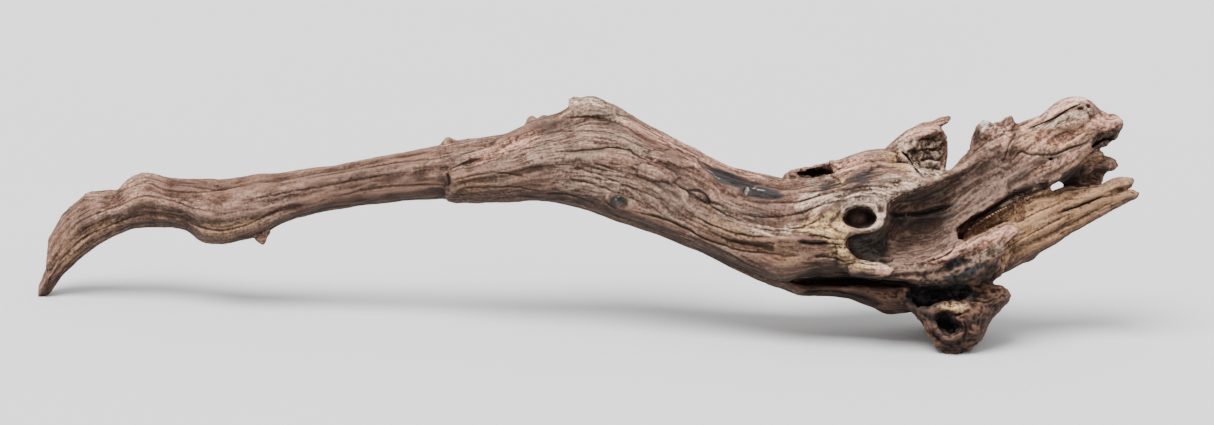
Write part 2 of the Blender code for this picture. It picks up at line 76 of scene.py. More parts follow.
# The studio: half the floor's side, its two greys, its mottle's scale and detail, its roughness, the sky's
# strength, and the lights with their place, softness in degrees and strength. Lengths here are in metres.
FLOOR_HALF = 12.0
FLOOR_GREYS = (0.86, 0.9)
FLOOR_MOTTLE = (3.0, 2.0)
FLOOR_ROUGHNESS = 0.9
SKY_STRENGTH = 0.8
LIGHTS = [("key", (-0.7, -0.9, 2.4), 35, 4.7)]

# The mesh: distance of a limb's rings, points round it, cell of the joined skin, triangles at the end, and
# how far in metres the skin may stand past the solid's own box
RING_STEP = 2.0
SIDES = 96
VOXEL = 1.0
TRIANGLES = 196000
BOX_MARGIN = 0.003

# Smoothing passes after the limbs, the cores and the notches, and how far a pass moves a point to its
# neighbours' middle
LIMB_PASSES, CORE_PASSES, NOTCH_PASSES = 5, 2, 1
PASS_SHARE = 0.5

# Ridges along a limb: waves round it, height as a share of its radius, twist per millimetre, and how far
# they are turned from one limb to the next
FLUTES = ((3, 0.05, 0.006), (5, 0.045, -0.008), (8, 0.032, 0.011), (13, 0.018, -0.010))
FLUTE_TURN = 1.7

# Knobs: spacing, height and seed, how many times as high they are on the trunk and on the root, and where
# the root starts and its top ends
KNOBS = (20.0, 0.6, 3)
TRUNK_KNOBS, ROOT_KNOBS = 1.2, 5.0
ROOT_START, ROOT_RUN = 620.0, 100.0
ROOT_TOP, ROOT_FADE = 75.0, 25.0

# Relief along the grain: spacing along it and twice across it, height, the level that stays as it is, seed
WAVES = ((60, 11, 11), 1.5, 0.35, 7)
THREADS = ((30, 4.6, 4.6), 0.8, 0.3, 8)
FIBRES = ((14, 2.4, 2.4), 0.25, 9)

# The grain's slow waver: spacing and width, with a seed for each way across. Limbs' grains start this far
# apart.
SWAY_SPACING, SWAY, SWAY_SEEDS = 34, 2.2, (5, 6)
GRAIN_SHIFT = 200

# The grain parts round a knot: distances along the limb count for this share, their square is at least this
# many squared radii, and the parting comes in between these shares of the depth
KNOT_STRETCH, KNOT_CLOSEST = 0.6, 1.02
KNOT_FRONT, KNOT_DEPTH = (-0.1, 0.25), 40

# A zone with its own grain: how far its points face the viewer and stand off every limb's skin at least
ZONE_FACING, ZONE_DEPTH = 0.1, 3

# How far a point faces the viewer where the front's features begin and are full
FRONT_RANGE = (-0.05, 0.3)

# Lines in the front are smooth curves with a point about this often
CURVE_STEP = 3

# Ridges: their foot in half widths, how far from one the skin knows of it, and the share of their length
# over which they fade
RIDGE_FOOT, RIDGE_REACH, RIDGE_FADE = 1.4, 1.5, 0.12

# Plates: how far from one the skin knows of it, and the width and depth of the dark line of painted shade
# round a raised one
PLATE_REACH = 6
RIM_LINE, RIM_SHADE = 0.9, 0.25

# Pits, in half widths: how far from one the skin knows of it, where its side starts and ends, and how much
# of the tearing it takes
PIT_REACH, PIT_SIDE, PIT_TEAR = 1.6, (1.15, 0.55), 0.12

# Torn rims: how deep they are bitten, how many points wide a rim is, how proud it has to stand, and the
# bites' spacing, half height and seed
RIM_WEAR = 2.4
RIM_SPAN = 14
RIM_START = 0.15
BITES = (4.5, 1.0, 15)

# Rotted wood: coarse and fine roughness, each with spacing, height and seed, a zone's soft edge, and the
# share of the roughness that the back keeps
COARSE_ROT, FINE_ROT = (8, 2.4, 13), (3.4, 1.3, 14)
ROT_EDGE = (-3, 5)
BACK_ROT = 0.4

# Named cracks: how far from one the skin knows of it, the share of their depth that is cut, the furrow and
# its dark line of painted shade as shares of the crack's half width, the depth of a fully dark one (a deeper
# crack is painted darker), the shares of its length over which it fades and that it fades past its end, and
# its wander with spacing, width and seed
CRACK_REACH = 2.6
CRACK_DEPTH = 0.6
FURROW_WIDTH, LINE_WIDTH = 1.1, 0.75
DARK_DEPTH = 3.4
CRACK_FADE, CRACK_PAST = 0.2, 0.02
CRACK_WANDER = (6, 0.5, 11)

# Noise that tears the edges of plates and of stains: spacing, in space or along the grain and twice across
# it, then width and seed
PLATE_TEAR, FINE_PLATE_TEAR = (4, 1.2, 17), (1.7, 0.5, 18)
STAIN_TEAR, FIBRE_TEAR, FINE_FIBRE_TEAR = (9, 2.0, 31), ((16, 3, 3), 2.6, 32), ((7, 1.4, 1.4), 1.6, 33)

# Short drying checks: how many, their half length, half width and depth, the spacing, width and seed of
# their wander, and how far from one the skin knows of it
CHECKS = 110
CHECK_LENGTH, CHECK_WIDTH, CHECK_DEPTH = (6, 34), (0.6, 1.2), (0.3, 1.1)
CHECK_WANDER_SPACING, CHECK_WANDER, CHECK_WANDER_SEED = 14, 1.2, 23
CHECK_REACH = 3
SEED = 41

# How far a point stands out of its surroundings: smoothing passes and weight, fine and broad, and how far a
# pass moves a point to its neighbours' middle
CREST_LAYERS = ((3, 4), (14, 0.9))
MEAN_SHARE = 0.65

# Hollows and notches that overlap others and so are cut in a second pass
SECOND_CUTS = ("arm_dish", "char_hollow", "sheet_slot", "stub_face", "foot_slit")
SECOND_NOTCHES = ("pocket", "char_rim", "sheet_edge", "window_rim")

# Stains in the order they lie over each other, and the painted shade, three to a stored vector. The painted
# shade is how far a point faces up, from its darkest to its lightest: the colour is darker where the wood
# faces down and lighter where it faces up.
STAIN_AND_SHADE_SETS = (
    ("grey", "tan", "pink"), ("sheet", "slab", "ochre"),
    ("pale", "green", "dark"), ("char", "chip", "shade"),
)
SHADE_RANGE = (-0.8, 0.8)

# Stains along a line: the share of their length over which they fade, the width left at the ends, and their
# soft edge in half widths. Full tearing starts at these widths, and nothing is stained farther off than the
# margin.
STREAK_FADE, STREAK_NECK, STREAK_EDGE = 0.1, 0.4, (-0.5, 0.6)
STREAK_TORN, AREA_TORN = 6, 3
STAIN_MARGIN = 4
STAIN_AND_SHADE_NAMES = sum(STAIN_AND_SHADE_SETS, ())

# Stains that the noise lays on the hidden sides: patch spacing, noise level where one starts, strength. Then
# how much of them the front keeps, the patches' seed, their tearing along the grain, and their edge.
HIDDEN_STAINS = [
    ("grey", 60, -0.05, 0.75), ("tan", 70, 0.25, 0.6), ("pink", 60, 0.2, 0.5), ("ochre", 38, 0.45, 0.6),
    ("pale", 52, 0.4, 0.6), ("green", 48, 0.55, 0.4), ("dark", 40, 0.6, 0.5), ("char", 45, 0.62, 0.7),
]
FRONT_SHARE = 0.15
PATCH_SEED, PATCH_TEAR, PATCH_TEAR_SEED, PATCH_EDGE = 50, ((14, 3, 3), 0.35), 70, 0.35

# Colours, from 0 to 255: bare wood from its darkest fibres to its lightest, the near black of hairlines and
# of the painted shade in cracks, furrows and pits, and the warm and the cool drift of the wood's own colour
BARK = [
    (0.0, (50, 34, 28)), (0.25, (85, 60, 49)), (0.5, (118, 88, 74)),
    (0.75, (152, 119, 102)), (1.0, (212, 172, 150)),
]
CREVICE = (18, 11, 9)
WARM_SHIFT = (122, 80, 60)
COOL_SHIFT = (98, 88, 80)
# Each stain's light fibres and dark fibres
STAIN_COLOURS = {
    "grey": ((184, 156, 136), (84, 64, 53)),
    "tan": ((206, 162, 122), (108, 77, 55)),
    "pink": ((255, 198, 170), (158, 106, 88)),
    "sheet": ((158, 130, 114), (84, 62, 52)),
    "slab": ((130, 96, 78), (42, 27, 21)),
    "ochre": ((246, 204, 148), (66, 45, 29)),
    "pale": ((252, 224, 198), (86, 62, 49)),
    "green": ((112, 104, 96), (50, 45, 42)),
    "dark": ((66, 45, 38), (20, 12, 10)),
    "char": ((64, 61, 61), (13, 13, 17)),
    "chip": ((245, 238, 228), (205, 190, 174)),
}

# Painted shade: how dark the wood's colour is made where it faces down, as a share, and where it faces up
SHADE_DOWN, SHADE_UP = 0.24, 1.05

# Noise in the wood: scale along the grain and twice across it, or one scale in space; detail, roughness
FIBRE_NOISE = ((0.05, 0.42, 0.42), 6.0, 0.8)
STREAK_NOISE = ((0.014, 0.15, 0.15), 3.0, 0.6)
HAIR_NOISE = ((0.03, 0.42, 0.42), 2.0, 0.5)
PATCH_NOISE = (24.0, 4.0, 0.6)
GRIT_NOISE = (420.0, 4.0, 0.75)

# How much grit, fibre, crest, streak and patch count for the wood's tone, and the sum that is its darkest.
# The crest lightens ridges and darkens hollows, the darkening being painted shade.
GRIT_SHARE, FIBRE_SHARE, CREST_SHARE, STREAK_SHARE, PATCH_SHARE = 1.5, 1.7, 0.22, 0.45, 0.45
DARKEST = 1.56
# Patch levels where the colour drifts warm and cool, and how far it does
WARM_RANGE, WARM_SHARE = (0.52, 0.7), 0.3
COOL_RANGE, COOL_SHARE = (0.46, 0.32), 0.45
# Stains: how grit and fibre tear their edges, where they begin and are full, and which fibres are light
TORN_GRIT, TORN_FIBRE = 1.5, 2.6
STAIN_START, STAIN_RANGE = (0.02, 0.3), (0.1, 0.85)
LIGHT_RANGE = (1.36, 1.92)
# Dark lines: hairlines where the streaks are dark, and painted shade in the named cracks and in furrows
HAIR_RANGE, HAIR_STREAKS, HAIR_SHARE = (0.010, 0.002), (0.5, 0.43), 0.4
LINE_RANGE = (0.8, 0.35)
FURROW_RANGE, FURROW_SHARE = (-0.7, -2.1), 0.65
# Gloss and the finest relief
ROUGHNESS, FIBRE_ROUGHNESS = 0.7, 0.25
SPECULAR = 0.25
BUMP_GRIT, BUMP_DARK, BUMP_STRENGTH, BUMP_DISTANCE = 0.6, 0.8, 0.9, 0.0014

# A limb has its squareness (1 is round) and its stations: x, low edge, high edge, depth of the centre,
# half thickness. The prongs, nubs and tips that the solid doesn't have come first.
LIMBS = {
    "barb_low": (1.0, [
        (763, 57, 67, 0, 6.5), (768, 61, 69, 0, 5), (772, 66, 71, 0, 3), (774.5, 69.5, 73.5, 0, 1.5),
    ]),
    "barb": (1.0, [
        (790.5, 73, 79, -6.5, 3), (794.5, 74, 80, -6.5, 3), (798.5, 76, 81.5, -6.5, 3),
        (801, 77, 82.5, -6.5, 1.5),
    ]),
    "ledge": (1.0, [
        (36, 120, 128.5, -36, 4), (41.5, 120, 130, -35, 8), (49.5, 120, 131, -33.5, 9.5),
        (57.5, 121.5, 132, -32, 9.5), (61.5, 123, 131.5, -31, 7), (63.5, 125.5, 130, -30.5, 3),
    ]),
    "edge_nub": (1.0, [
        (739.5, 154, 156.5, 0, 1.5), (741.5, 150.5, 158, 0, 4), (745.5, 149, 160.5, 0, 5),
        (750.5, 150.5, 165, 0, 5),
    ]),
    "shoulder_peak": (1.0, [
        (769, 178.5, 187, 6.5, 3), (773.5, 181, 189.5, 6.5, 3), (777.5, 185, 191, 6.5, 2.5),
        (780.5, 189, 191, 6.5, 1.5),
    ]),
    "lump_tip_c": (1.0, [
        (760, 31, 41, 14.5, 8), (765.5, 33, 40.5, 14.5, 5.5), (769, 34, 39, 14.5, 3.5),
        (770, 35.5, 37.5, 14.5, 1.5),
    ]),
    "lump_tip_b": (1.0, [
        (765.5, 40, 48, 14.5, 7), (771, 40.5, 47.5, 14.5, 5.5), (774.5, 41.5, 46.5, 14.5, 4),
        (776, 43, 45, 14.5, 2),
    ]),
    "lump_tip_a": (1.0, [
        (763, 45.5, 54.5, 16, 8), (769, 47, 54, 16, 6.5), (773, 49, 53, 16, 5),
        (774.5, 50, 51, 16, 2),
    ]),
    "arm_finger": (1.0, [
        (848, 145, 155, -13, 6.5), (854.5, 145.5, 157, -12, 5.5), (860, 146.5, 157, -11, 5),
        (863.5, 148.5, 155, -10.5, 4), (865, 150.5, 153, -10.5, 1.5),
    ]),
    "finger_up": (1.0, [
        (840, 124, 134.5, -4, 12), (849.5, 126.5, 135.5, -4, 10.5), (857.5, 128, 139, -3, 9),
        (865.5, 130.5, 141.5, -2.5, 7), (870.5, 131, 142, -1.5, 6.5), (873.5, 132.5, 141, -1.5, 5),
        (876.5, 135.5, 141.5, -1.5, 3), (877.5, 137.5, 140.5, -1.5, 1.5),
    ]),
    "finger_low": (1.0, [
        (840, 108, 124, -4, 12), (849.5, 109.5, 126.5, -4, 11), (859, 114.5, 129, -3, 9.5),
        (869, 118.5, 131.5, -2.5, 8), (874.5, 122, 132.5, -1.5, 7), (878.5, 123.5, 131, -1.5, 5),
        (881, 126.5, 130, -1.5, 3), (882, 127.5, 129, -1.5, 1),
    ]),
    "leader": (1.0, [
        (-3, 47, 50.5, -41.5, 3), (-1, 44, 54, -41.5, 6.5), (1, 43.5, 59, -41.5, 8),
        (3.5, 45, 65, -41, 9.5), (5.5, 47, 70.5, -40, 10.5), (6.5, 47.5, 73, -40, 11),
        (7, 48, 92, -40, 11), (9, 49.5, 95.5, -40, 11), (11, 52.5, 99.5, -39, 11),
        (14.5, 58, 105.5, -39, 12.5), (19, 64, 113, -37.5, 14), (22.5, 67, 116, -37, 15),
        (25.5, 69.5, 120, -36, 15.5), (29.5, 73.5, 123.5, -35, 16.5), (33.5, 77.5, 126, -34.5, 17),
        (43, 85, 130, -32, 18), (53, 91, 131, -30.5, 18), (61, 95, 131, -29, 19),
        (64, 96, 133, -29, 19), (69, 97.5, 138.5, -28, 20.5), (75, 100, 143, -27, 21.5),
        (83, 101, 145.5, -25.5, 21.5), (91, 101.5, 145, -25, 21.5), (97.5, 101.5, 143, -23, 21.5),
        (107, 101, 140, -21, 20), (117, 99, 140, -19, 20), (123, 95, 140.5, -17.5, 21),
        (129.5, 90, 140.5, -16, 22.5), (136, 88, 140.5, -15, 23), (145.5, 87.5, 139, -13.5, 23),
        (161.5, 91, 142, -11, 22.5), (173, 93.5, 144, -9.5, 21), (182.5, 97, 144.5, -9, 20.5),
        (193.5, 103, 145, -8, 20), (209.5, 109, 147, -6.5, 19), (233.5, 115, 151, -4, 18.5),
        (257.5, 119, 155, -2.5, 18), (281.5, 121, 160, -1, 18.5), (305.5, 123.5, 164, 1.5, 20),
        (321.5, 124, 167, 3, 21), (337.5, 124, 171, 5, 21), (353.5, 126.5, 173.5, 5, 21),
        (369.5, 131, 175.5, 5, 21), (385.5, 137.5, 181, 4, 20), (405.5, 143, 190, 3, 19),
        (417.5, 147, 194, 2.5, 17.5), (429.5, 151, 200, 2.5, 16), (441.5, 155, 205, 2.5, 14.5),
        (457.5, 157, 201, 1.5, 13), (481.5, 151, 186.5, 0, 11), (513.5, 135, 169.5, 0, 9.5),
        (545.5, 123, 153, 0, 6.5),
    ]),
    "trunk": (1.0, [
        (326.5, 123, 147, 9.5, 14.5), (329.5, 121, 152, 10.5, 20), (345.5, 121, 160, 10.5, 25),
        (361.5, 121, 165.5, 10.5, 28), (377.5, 121.5, 171, 10.5, 30.5), (393.5, 122.5, 177, 10.5, 32),
        (409.5, 122, 182.5, 10.5, 33.5), (425.5, 119, 187, 10.5, 35), (441.5, 114.5, 192, 10.5, 37),
        (465.5, 105.5, 192, 10.5, 38.5), (489.5, 97.5, 183, 10.5, 39), (513.5, 87.5, 171, 10.5, 39),
        (529.5, 81, 162.5, 10.5, 39), (545.5, 73.5, 154, 10.5, 40), (561.5, 66, 148, 10.5, 41),
        (577.5, 58.5, 144.5, 11, 41.5), (593.5, 53, 141, 12, 43), (609.5, 55, 140.5, 13, 45),
        (625.5, 59, 141.5, 13.5, 46.5), (641.5, 60, 145.5, 14.5, 47), (657.5, 60, 151, 14.5, 48),
        (673.5, 59, 153.5, 14.5, 49), (689.5, 57, 153, 14.5, 49), (705.5, 53, 150.5, 14.5, 48),
        (721.5, 50.5, 146.5, 13.5, 46.5), (737.5, 50.5, 150.5, 12, 43), (753.5, 53, 161.5, 9.5, 37.5),
        (765, 58.5, 163, 6.5, 30.5), (773, 67, 157, 4, 22.5), (779, 77, 145.5, 3, 14.5),
        (784, 89.5, 131, 1.5, 5),
    ]),
    "root_flare": (0.75, [
        (584, 56.5, 73.5, 4, 14.5), (597.5, 51.5, 73.5, 4, 24), (609.5, 47, 73.5, 3, 29),
        (633.5, 46.5, 73.5, 1.5, 34.5), (649.5, 45, 73.5, 0, 37), (665.5, 38.5, 72, -1.5, 37.5),
        (681.5, 33, 72, -1.5, 37.5), (696, 34, 72, -1.5, 37), (709.5, 30.5, 72, 0, 35),
        (725.5, 27, 70.5, -1, 32), (739, 29, 67, -1.5, 28), (752, 35, 64, -2.5, 22.5),
        (761.5, 43, 61, -3, 13),
    ]),
    "front_foot": (0.85, [
        (697.5, 33, 51, 17.5, 14.5), (707, 25.5, 53, 21, 17.5), (713.5, 15, 54.5, 22.5, 19),
        (721.5, 4, 54.5, 24, 21), (729.5, -1, 54.5, 24, 21), (739, 1.5, 54.5, 23, 21),
        (747, 5, 55, 21.5, 20), (752, 8, 55, 20, 19), (756, 15, 56, 18.5, 18.5),
        (761.5, 26.5, 56, 17.5, 17.5), (766.5, 32, 55, 16, 16), (771, 38.5, 54.5, 16, 13),
        (775, 42.5, 53, 16, 9), (777.5, 45, 50.5, 16, 4),
    ]),
    "back_foot": (0.85, [
        (683, 46.5, 69, -24, 13), (696, 38.5, 70.5, -27, 17.5), (707, 28, 70.5, -31, 20),
        (720, 18.5, 70.5, -34.5, 20), (731, 16.5, 70.5, -35, 19), (742.5, 18.5, 70.5, -34.5, 17.5),
        (753.5, 30.5, 72, -29.5, 14.5), (765, 46.5, 73.5, -23, 8),
    ]),
    "upper_arm": (0.8, [
        (665.5, 87, 131, -6.5, 17.5), (689.5, 85, 137.5, -8, 21), (713.5, 84, 142.5, -8, 22.5),
        (729.5, 85, 147, -6.5, 22.5), (741.5, 87, 158.5, -5, 22.5), (753.5, 93, 169, -2.5, 22.5),
        (769.5, 103, 179, 0, 21.5), (785.5, 114.5, 185, 2.5, 21.5), (801.5, 125, 190.5, 5, 21.5),
        (813.5, 132.5, 200, 6.5, 21.5), (822.5, 138.5, 205, 7, 21.5), (833.5, 148.5, 205.5, 8, 21),
        (841.5, 157.5, 203.5, 8, 19), (846.5, 161.5, 199.5, 8, 17.5), (851, 165.5, 194.5, 8, 15),
        (857.5, 169, 192, 8, 13), (862.5, 173, 191, 8, 10), (866.5, 178.5, 189, 8, 7),
        (868.5, 181, 187, 8, 3),
    ]),
    "lower_arm": (0.7, [
        (689.5, 55, 73.5, -14.5, 16), (713.5, 54.5, 80, -14.5, 19), (729.5, 53.5, 86.5, -14.5, 20),
        (741.5, 54.5, 101, -13.5, 20), (757.5, 58.5, 113, -13, 20), (769.5, 63.5, 120, -9.5, 22.5),
        (785.5, 71.5, 126.5, -6.5, 21.5), (801.5, 81, 129.5, -5.5, 20), (811, 86.5, 131, -6.5, 18.5),
        (817.5, 90.5, 133, -7, 16), (824, 94.5, 135, -6.5, 15), (833.5, 99.5, 135, -5.5, 14.5),
        (845.5, 106.5, 134.5, -4, 13), (854.5, 112, 135, -3, 11), (861, 116, 134.5, -3, 8),
        (865.5, 120, 131, -3, 3),
    ]),
    "middle_arm": (0.75, [
        (774.5, 131, 152, -11, 3), (781, 125, 158.5, -10.5, 7), (787, 123, 161, -10.5, 9.5),
        (793.5, 125, 163, -11, 11), (801.5, 126.5, 163, -13, 12), (808, 129, 162, -14.5, 13),
        (810.5, 133, 161.5, -15, 13), (817.5, 136, 160.5, -17.5, 13.5),
        (821, 134.5, 160, -17.5, 13.5), (823.5, 131, 160, -17.5, 13.5),
        (829, 130, 161.5, -17.5, 13.5), (837.5, 130.5, 162.5, -16, 13),
        (846.5, 133.5, 162.5, -14.5, 11), (853, 139, 159, -13, 9), (859, 145.5, 157, -11, 6.5),
        (864, 149.5, 154.5, -10.5, 3),
    ]),
    "splinter": (0.7, [
        (806.5, 142.5, 152, 13, 6.5), (817.5, 145.5, 156, 12, 7), (827, 150.5, 160, 10.5, 6.5),
        (837.5, 154.5, 163, 9, 5.5), (845.5, 157, 163.5, 8, 5), (853, 157.5, 161, 7, 2.5),
    ]),
    "window_sill": (0.8, [
        (801.5, 138.5, 142.5, 0, 11), (809.5, 139, 147, -1.5, 11), (821, 139.5, 149, -3, 9.5),
        (833.5, 139, 150.5, -6.5, 9.5),
    ]),
    "lip": (0.85, [
        (649.5, 56, 73.5, 36, 16), (665.5, 56, 72, 40, 17.5), (681.5, 55, 73.5, 41.5, 17.5),
        (697.5, 54.5, 74.5, 40, 17.5), (713.5, 53.5, 77, 38.5, 17), (729.5, 53.5, 83, 37, 16),
        (745.5, 55, 90.5, 35, 15), (757.5, 59, 96.5, 33.5, 13.5), (766.5, 67, 101, 32, 13),
        (773.5, 79, 104.5, 30.5, 10.5), (779, 87, 104, 29, 8), (783, 91, 101.5, 28, 5.5),
        (785, 93.5, 98.5, 27, 2.5),
    ]),
    "stub": (0.75, [
        (669, 135, 157, -9.5, 9.5), (677, 135, 163, -10.5, 13.5), (683, 135, 169, -11, 16),
        (689.5, 134.5, 174.5, -11, 18.5), (697.5, 133.5, 179.5, -11, 20), (705.5, 133.5, 182, -11, 21),
        (713.5, 134.5, 183, -11, 20), (720, 137, 182.5, -11, 17.5), (724, 141, 179, -11, 14.5),
        (727.5, 155, 173.5, -11, 7),
    ]),
    "stub_twig": (1.0, [
        (704, 177, 184.5, -11, 5), (713.5, 179, 186.5, -11, 4.5), (720, 181, 188.5, -11, 4),
        (725, 183, 190.5, -11, 4), (729, 184.5, 191, -11, 3), (731, 186, 190, -11, 1.5),
    ]),
    "shoulder_knob": (1.0, [
        (744, 150.5, 165, 4, 5.5), (749, 153.5, 178.5, 4, 7), (753, 153.5, 185.5, 4, 8),
        (757, 155, 188, 4, 8), (761, 157, 186.5, 4, 8), (765, 163, 181.5, 4, 5.5),
    ]),
    "shoulder_chip": (1.0, [
        (761.5, 165, 181.5, 6.5, 6.5), (766.5, 168, 187, 6.5, 8), (772, 169.5, 189, 6.5, 7),
        (777, 173, 191.5, 6.5, 6.5), (781, 177.5, 191, 6.5, 5),
    ]),
    "bark_flake": (0.8, [
        (596, 137, 141, -4, 8), (603, 137, 146.5, -6.5, 16), (616, 135, 149, -8, 22.5),
        (629, 134.5, 152, -8, 25.5), (641.5, 134.5, 155, -8, 27), (654.5, 134.5, 160, -8, 29),
        (665.5, 134.5, 163, -8, 29), (677, 134.5, 164, -8, 27), (686.5, 136, 161.5, -8, 21),
    ]),
    "spur": (1.0, [
        (323, 166.5, 171, 6.5, 2), (325.5, 165, 174, 6.5, 3.5), (327.5, 164, 174.5, 6.5, 4),
        (330.5, 162.5, 172.5, 6.5, 4), (336, 161, 171, 6.5, 4.5), (345.5, 161, 171.5, 6.5, 5),
        (352, 161.5, 172, 6.5, 3),
    ]),
    "twin_nub_a": (1.0, [
        (390, 177.5, 187, 2.5, 2.5), (392, 177.5, 190.5, 2.5, 3.5), (395, 177.5, 192.5, 2.5, 3.5),
        (397, 177.5, 190.5, 2.5, 3.5), (399, 177.5, 186.5, 2.5, 2.5),
    ]),
    "twin_nub_b": (1.0, [
        (399.5, 181, 188, 0, 2.5), (401, 181, 191, 0, 3.5), (404, 181, 192, 0, 3.5),
        (407, 181, 190.5, 0, 3.5), (410, 182.5, 187, 0, 2.5),
    ]),
    "crest_cap": (1.0, [
        (424.5, 201.5, 205, 2.5, 2.5), (428, 195, 206.5, 2.5, 5), (433.5, 192, 205, 2.5, 6.5),
        (441.5, 190.5, 207, 2.5, 7), (448, 189, 205.5, 2.5, 7), (456, 189, 201, 1.5, 5.5),
    ]),
    "thorn": (1.0, [
        (173, 91, 96, -8, 2.5), (176, 88.5, 98.5, -8, 3.5), (178.5, 86.5, 100, -8, 4),
        (180.5, 86.5, 101.5, -8, 3.5), (182, 91, 102.5, -8, 3), (185, 95, 103, -8, 2.5),
    ]),
}

# Hollows are cut out of the fused limbs, and a core stands inside its hole afterwards.
HOLLOWS = {
    "hollow": [
        (645.5, 85.5, 93, 56, 11), (649.5, 81, 95, 57.5, 17.5), (659, 76, 96.5, 60, 24),
        (669, 73, 98.5, 61.5, 29.5), (674.5, 72, 102.5, 62.5, 34.5), (678.5, 72, 112, 62.5, 38.5),
        (682.5, 72, 124, 62.5, 41.5), (693, 73, 129.5, 62.5, 45.5), (707, 75, 136, 62.5, 48),
        (718.5, 78.5, 141, 62.5, 48), (731, 84, 157, 62.5, 46.5), (745.5, 91, 171, 61, 43),
        (761.5, 100, 187, 59, 40), (777.5, 109, 197, 57.5, 37), (793.5, 126.5, 193.5, 56, 29.5),
    ],
    "arm_dish": [
        (784, 155, 173, 45, 13), (797.5, 157, 179, 45, 17.5), (813.5, 159, 181, 46.5, 20),
        (827, 163, 184, 46.5, 19), (838.5, 168, 189, 45, 14.5),
    ],
    "shelf_slot": [
        (598.5, 58.5, 60.5, 49.5, 8), (603, 55, 61.5, 49.5, 22.5), (614.5, 52, 63, 49.5, 30.5),
        (633.5, 52, 63, 49.5, 33.5), (653.5, 53, 62.5, 49.5, 32), (673.5, 53.5, 60, 49.5, 29),
        (689.5, 53.5, 58.5, 49.5, 25.5), (701.5, 53, 57, 48, 21),
    ],
    "char_hollow": [
        (691, 47, 53, 49.5, 13), (701.5, 41, 54.5, 49.5, 27), (717.5, 41, 55, 49.5, 30.5),
        (731, 43, 56, 49.5, 29), (742.5, 46.5, 56, 49.5, 24), (750.5, 49.5, 53.5, 49.5, 13),
    ],
    "foot_hole": [
        (713.5, 25, 29, 51, 9.5), (718.5, 19, 33.5, 51, 25.5), (725.5, 15, 33.5, 51, 30.5),
        (733, 16, 29.5, 51, 27), (739, 19, 25.5, 51, 11),
    ],
    "foot_slit": [
        (725, 32, 33.5, 51, 6.5), (729.5, 31.5, 35, 49.5, 13), (735, 31, 35, 49.5, 13),
        (742.5, 32, 34.5, 48, 6.5),
    ],
    "flake_gap": [
        (606.5, 142.5, 145.5, 16, 11), (614.5, 141, 148, 16, 21), (624, 141, 149, 14.5, 22.5),
        (633.5, 141.5, 149, 13, 17.5), (638.5, 144, 147, 11, 6.5),
    ],
    "knot_hole": [
        (643, 105.5, 112, 70.5, 19), (645.5, 102.5, 116, 70.5, 27), (650.5, 100, 117.5, 70.5, 32),
        (657, 99, 117.5, 70.5, 33), (663, 100, 116.5, 70.5, 32), (668, 102.5, 113.5, 70.5, 27),
        (670.5, 105.5, 110.5, 70.5, 19),
    ],
    "sheet_slot": [
        (733.5, 95, 100, 27, 9.5), (741.5, 98.5, 105.5, 28, 19), (751, 104, 112, 26.5, 23),
        (765, 113, 120.5, 26.5, 22.5), (779, 121.5, 130, 26.5, 21), (792, 125, 134.5, 26.5, 19),
        (803, 128, 137.5, 27, 17.5),
    ],
    "arm_gap": [
        (830.5, 133, 137.5, 6.5, 8), (838.5, 134.5, 145.5, 6.5, 13), (846.5, 136, 150.5, 5, 16),
        (854.5, 138.5, 149, 3, 19), (862.5, 141.5, 145.5, 1.5, 19), (869, 142.5, 144, 1.5, 16),
    ],
    "plank_split": [
        (833, 115.5, 117.5, 8, 8), (846.5, 121.5, 123.5, 8, 9.5), (855, 125.5, 127.5, 6.5, 9.5),
        (863, 128.5, 130.5, 5, 9), (869.5, 130.5, 132, 3, 9), (873.5, 131, 133.5, 1.5, 13),
        (877, 131, 134, 0, 21), (884, 130.5, 134.5, 0, 21),
    ],
    "tip_hollow": [
        (843, 169.5, 173.5, 24, 6.5), (849, 169, 178, 24, 11), (857, 170.5, 179, 22.5, 12),
        (865, 173.5, 179.5, 21, 11),
    ],
    "stub_face": [
        (690.5, 161, 163, 16, 5), (698.5, 152, 166.5, 14.5, 11), (705.5, 143, 171, 13, 16),
        (713.5, 139, 178.5, 11, 18.5), (721.5, 141, 181, 9.5, 20), (731, 142.5, 184, 8, 22.5),
    ],
    "back_split": [
        (465.5, 161, 163, -40, 5), (485.5, 155, 161.5, -41.5, 11), (513.5, 144, 153, -41.5, 14.5),
        (541.5, 129.5, 139, -41.5, 16), (569.5, 119, 126.5, -43, 14.5),
        (589.5, 114.5, 118.5, -43, 6.5),
    ],
    "back_knot": [
        (619, 112, 118.5, -48, 11), (623, 106.5, 124, -48, 21), (630.5, 103, 126.5, -48, 25.5),
        (637.5, 105.5, 124, -48, 23), (642.5, 111, 118.5, -48, 11),
    ],
    "back_cave": [
        (670.5, 83, 91, -56, 9.5), (680, 73.5, 101, -56, 27), (693.5, 67, 109, -56, 33.5),
        (709.5, 69, 113.5, -54.5, 33.5), (725.5, 77, 117, -53, 30.5), (741.5, 91, 120, -51, 22.5),
        (753.5, 105.5, 117, -49.5, 9.5),
    ],
}

CORES = {
    "knot": [
        (645, 106.5, 110.5, 40, 3), (649, 102.5, 114.5, 38.5, 7), (654.5, 100.5, 116, 37.5, 9.5),
        (660, 101.5, 115, 37, 9), (665, 105, 113, 35, 5),
    ],
    "back_knot_core": [
        (622.5, 113, 117, -19, 4), (626.5, 108, 121.5, -20, 7), (632, 106.5, 123, -20, 9),
        (637.5, 110.5, 119, -19, 5),
    ],
}

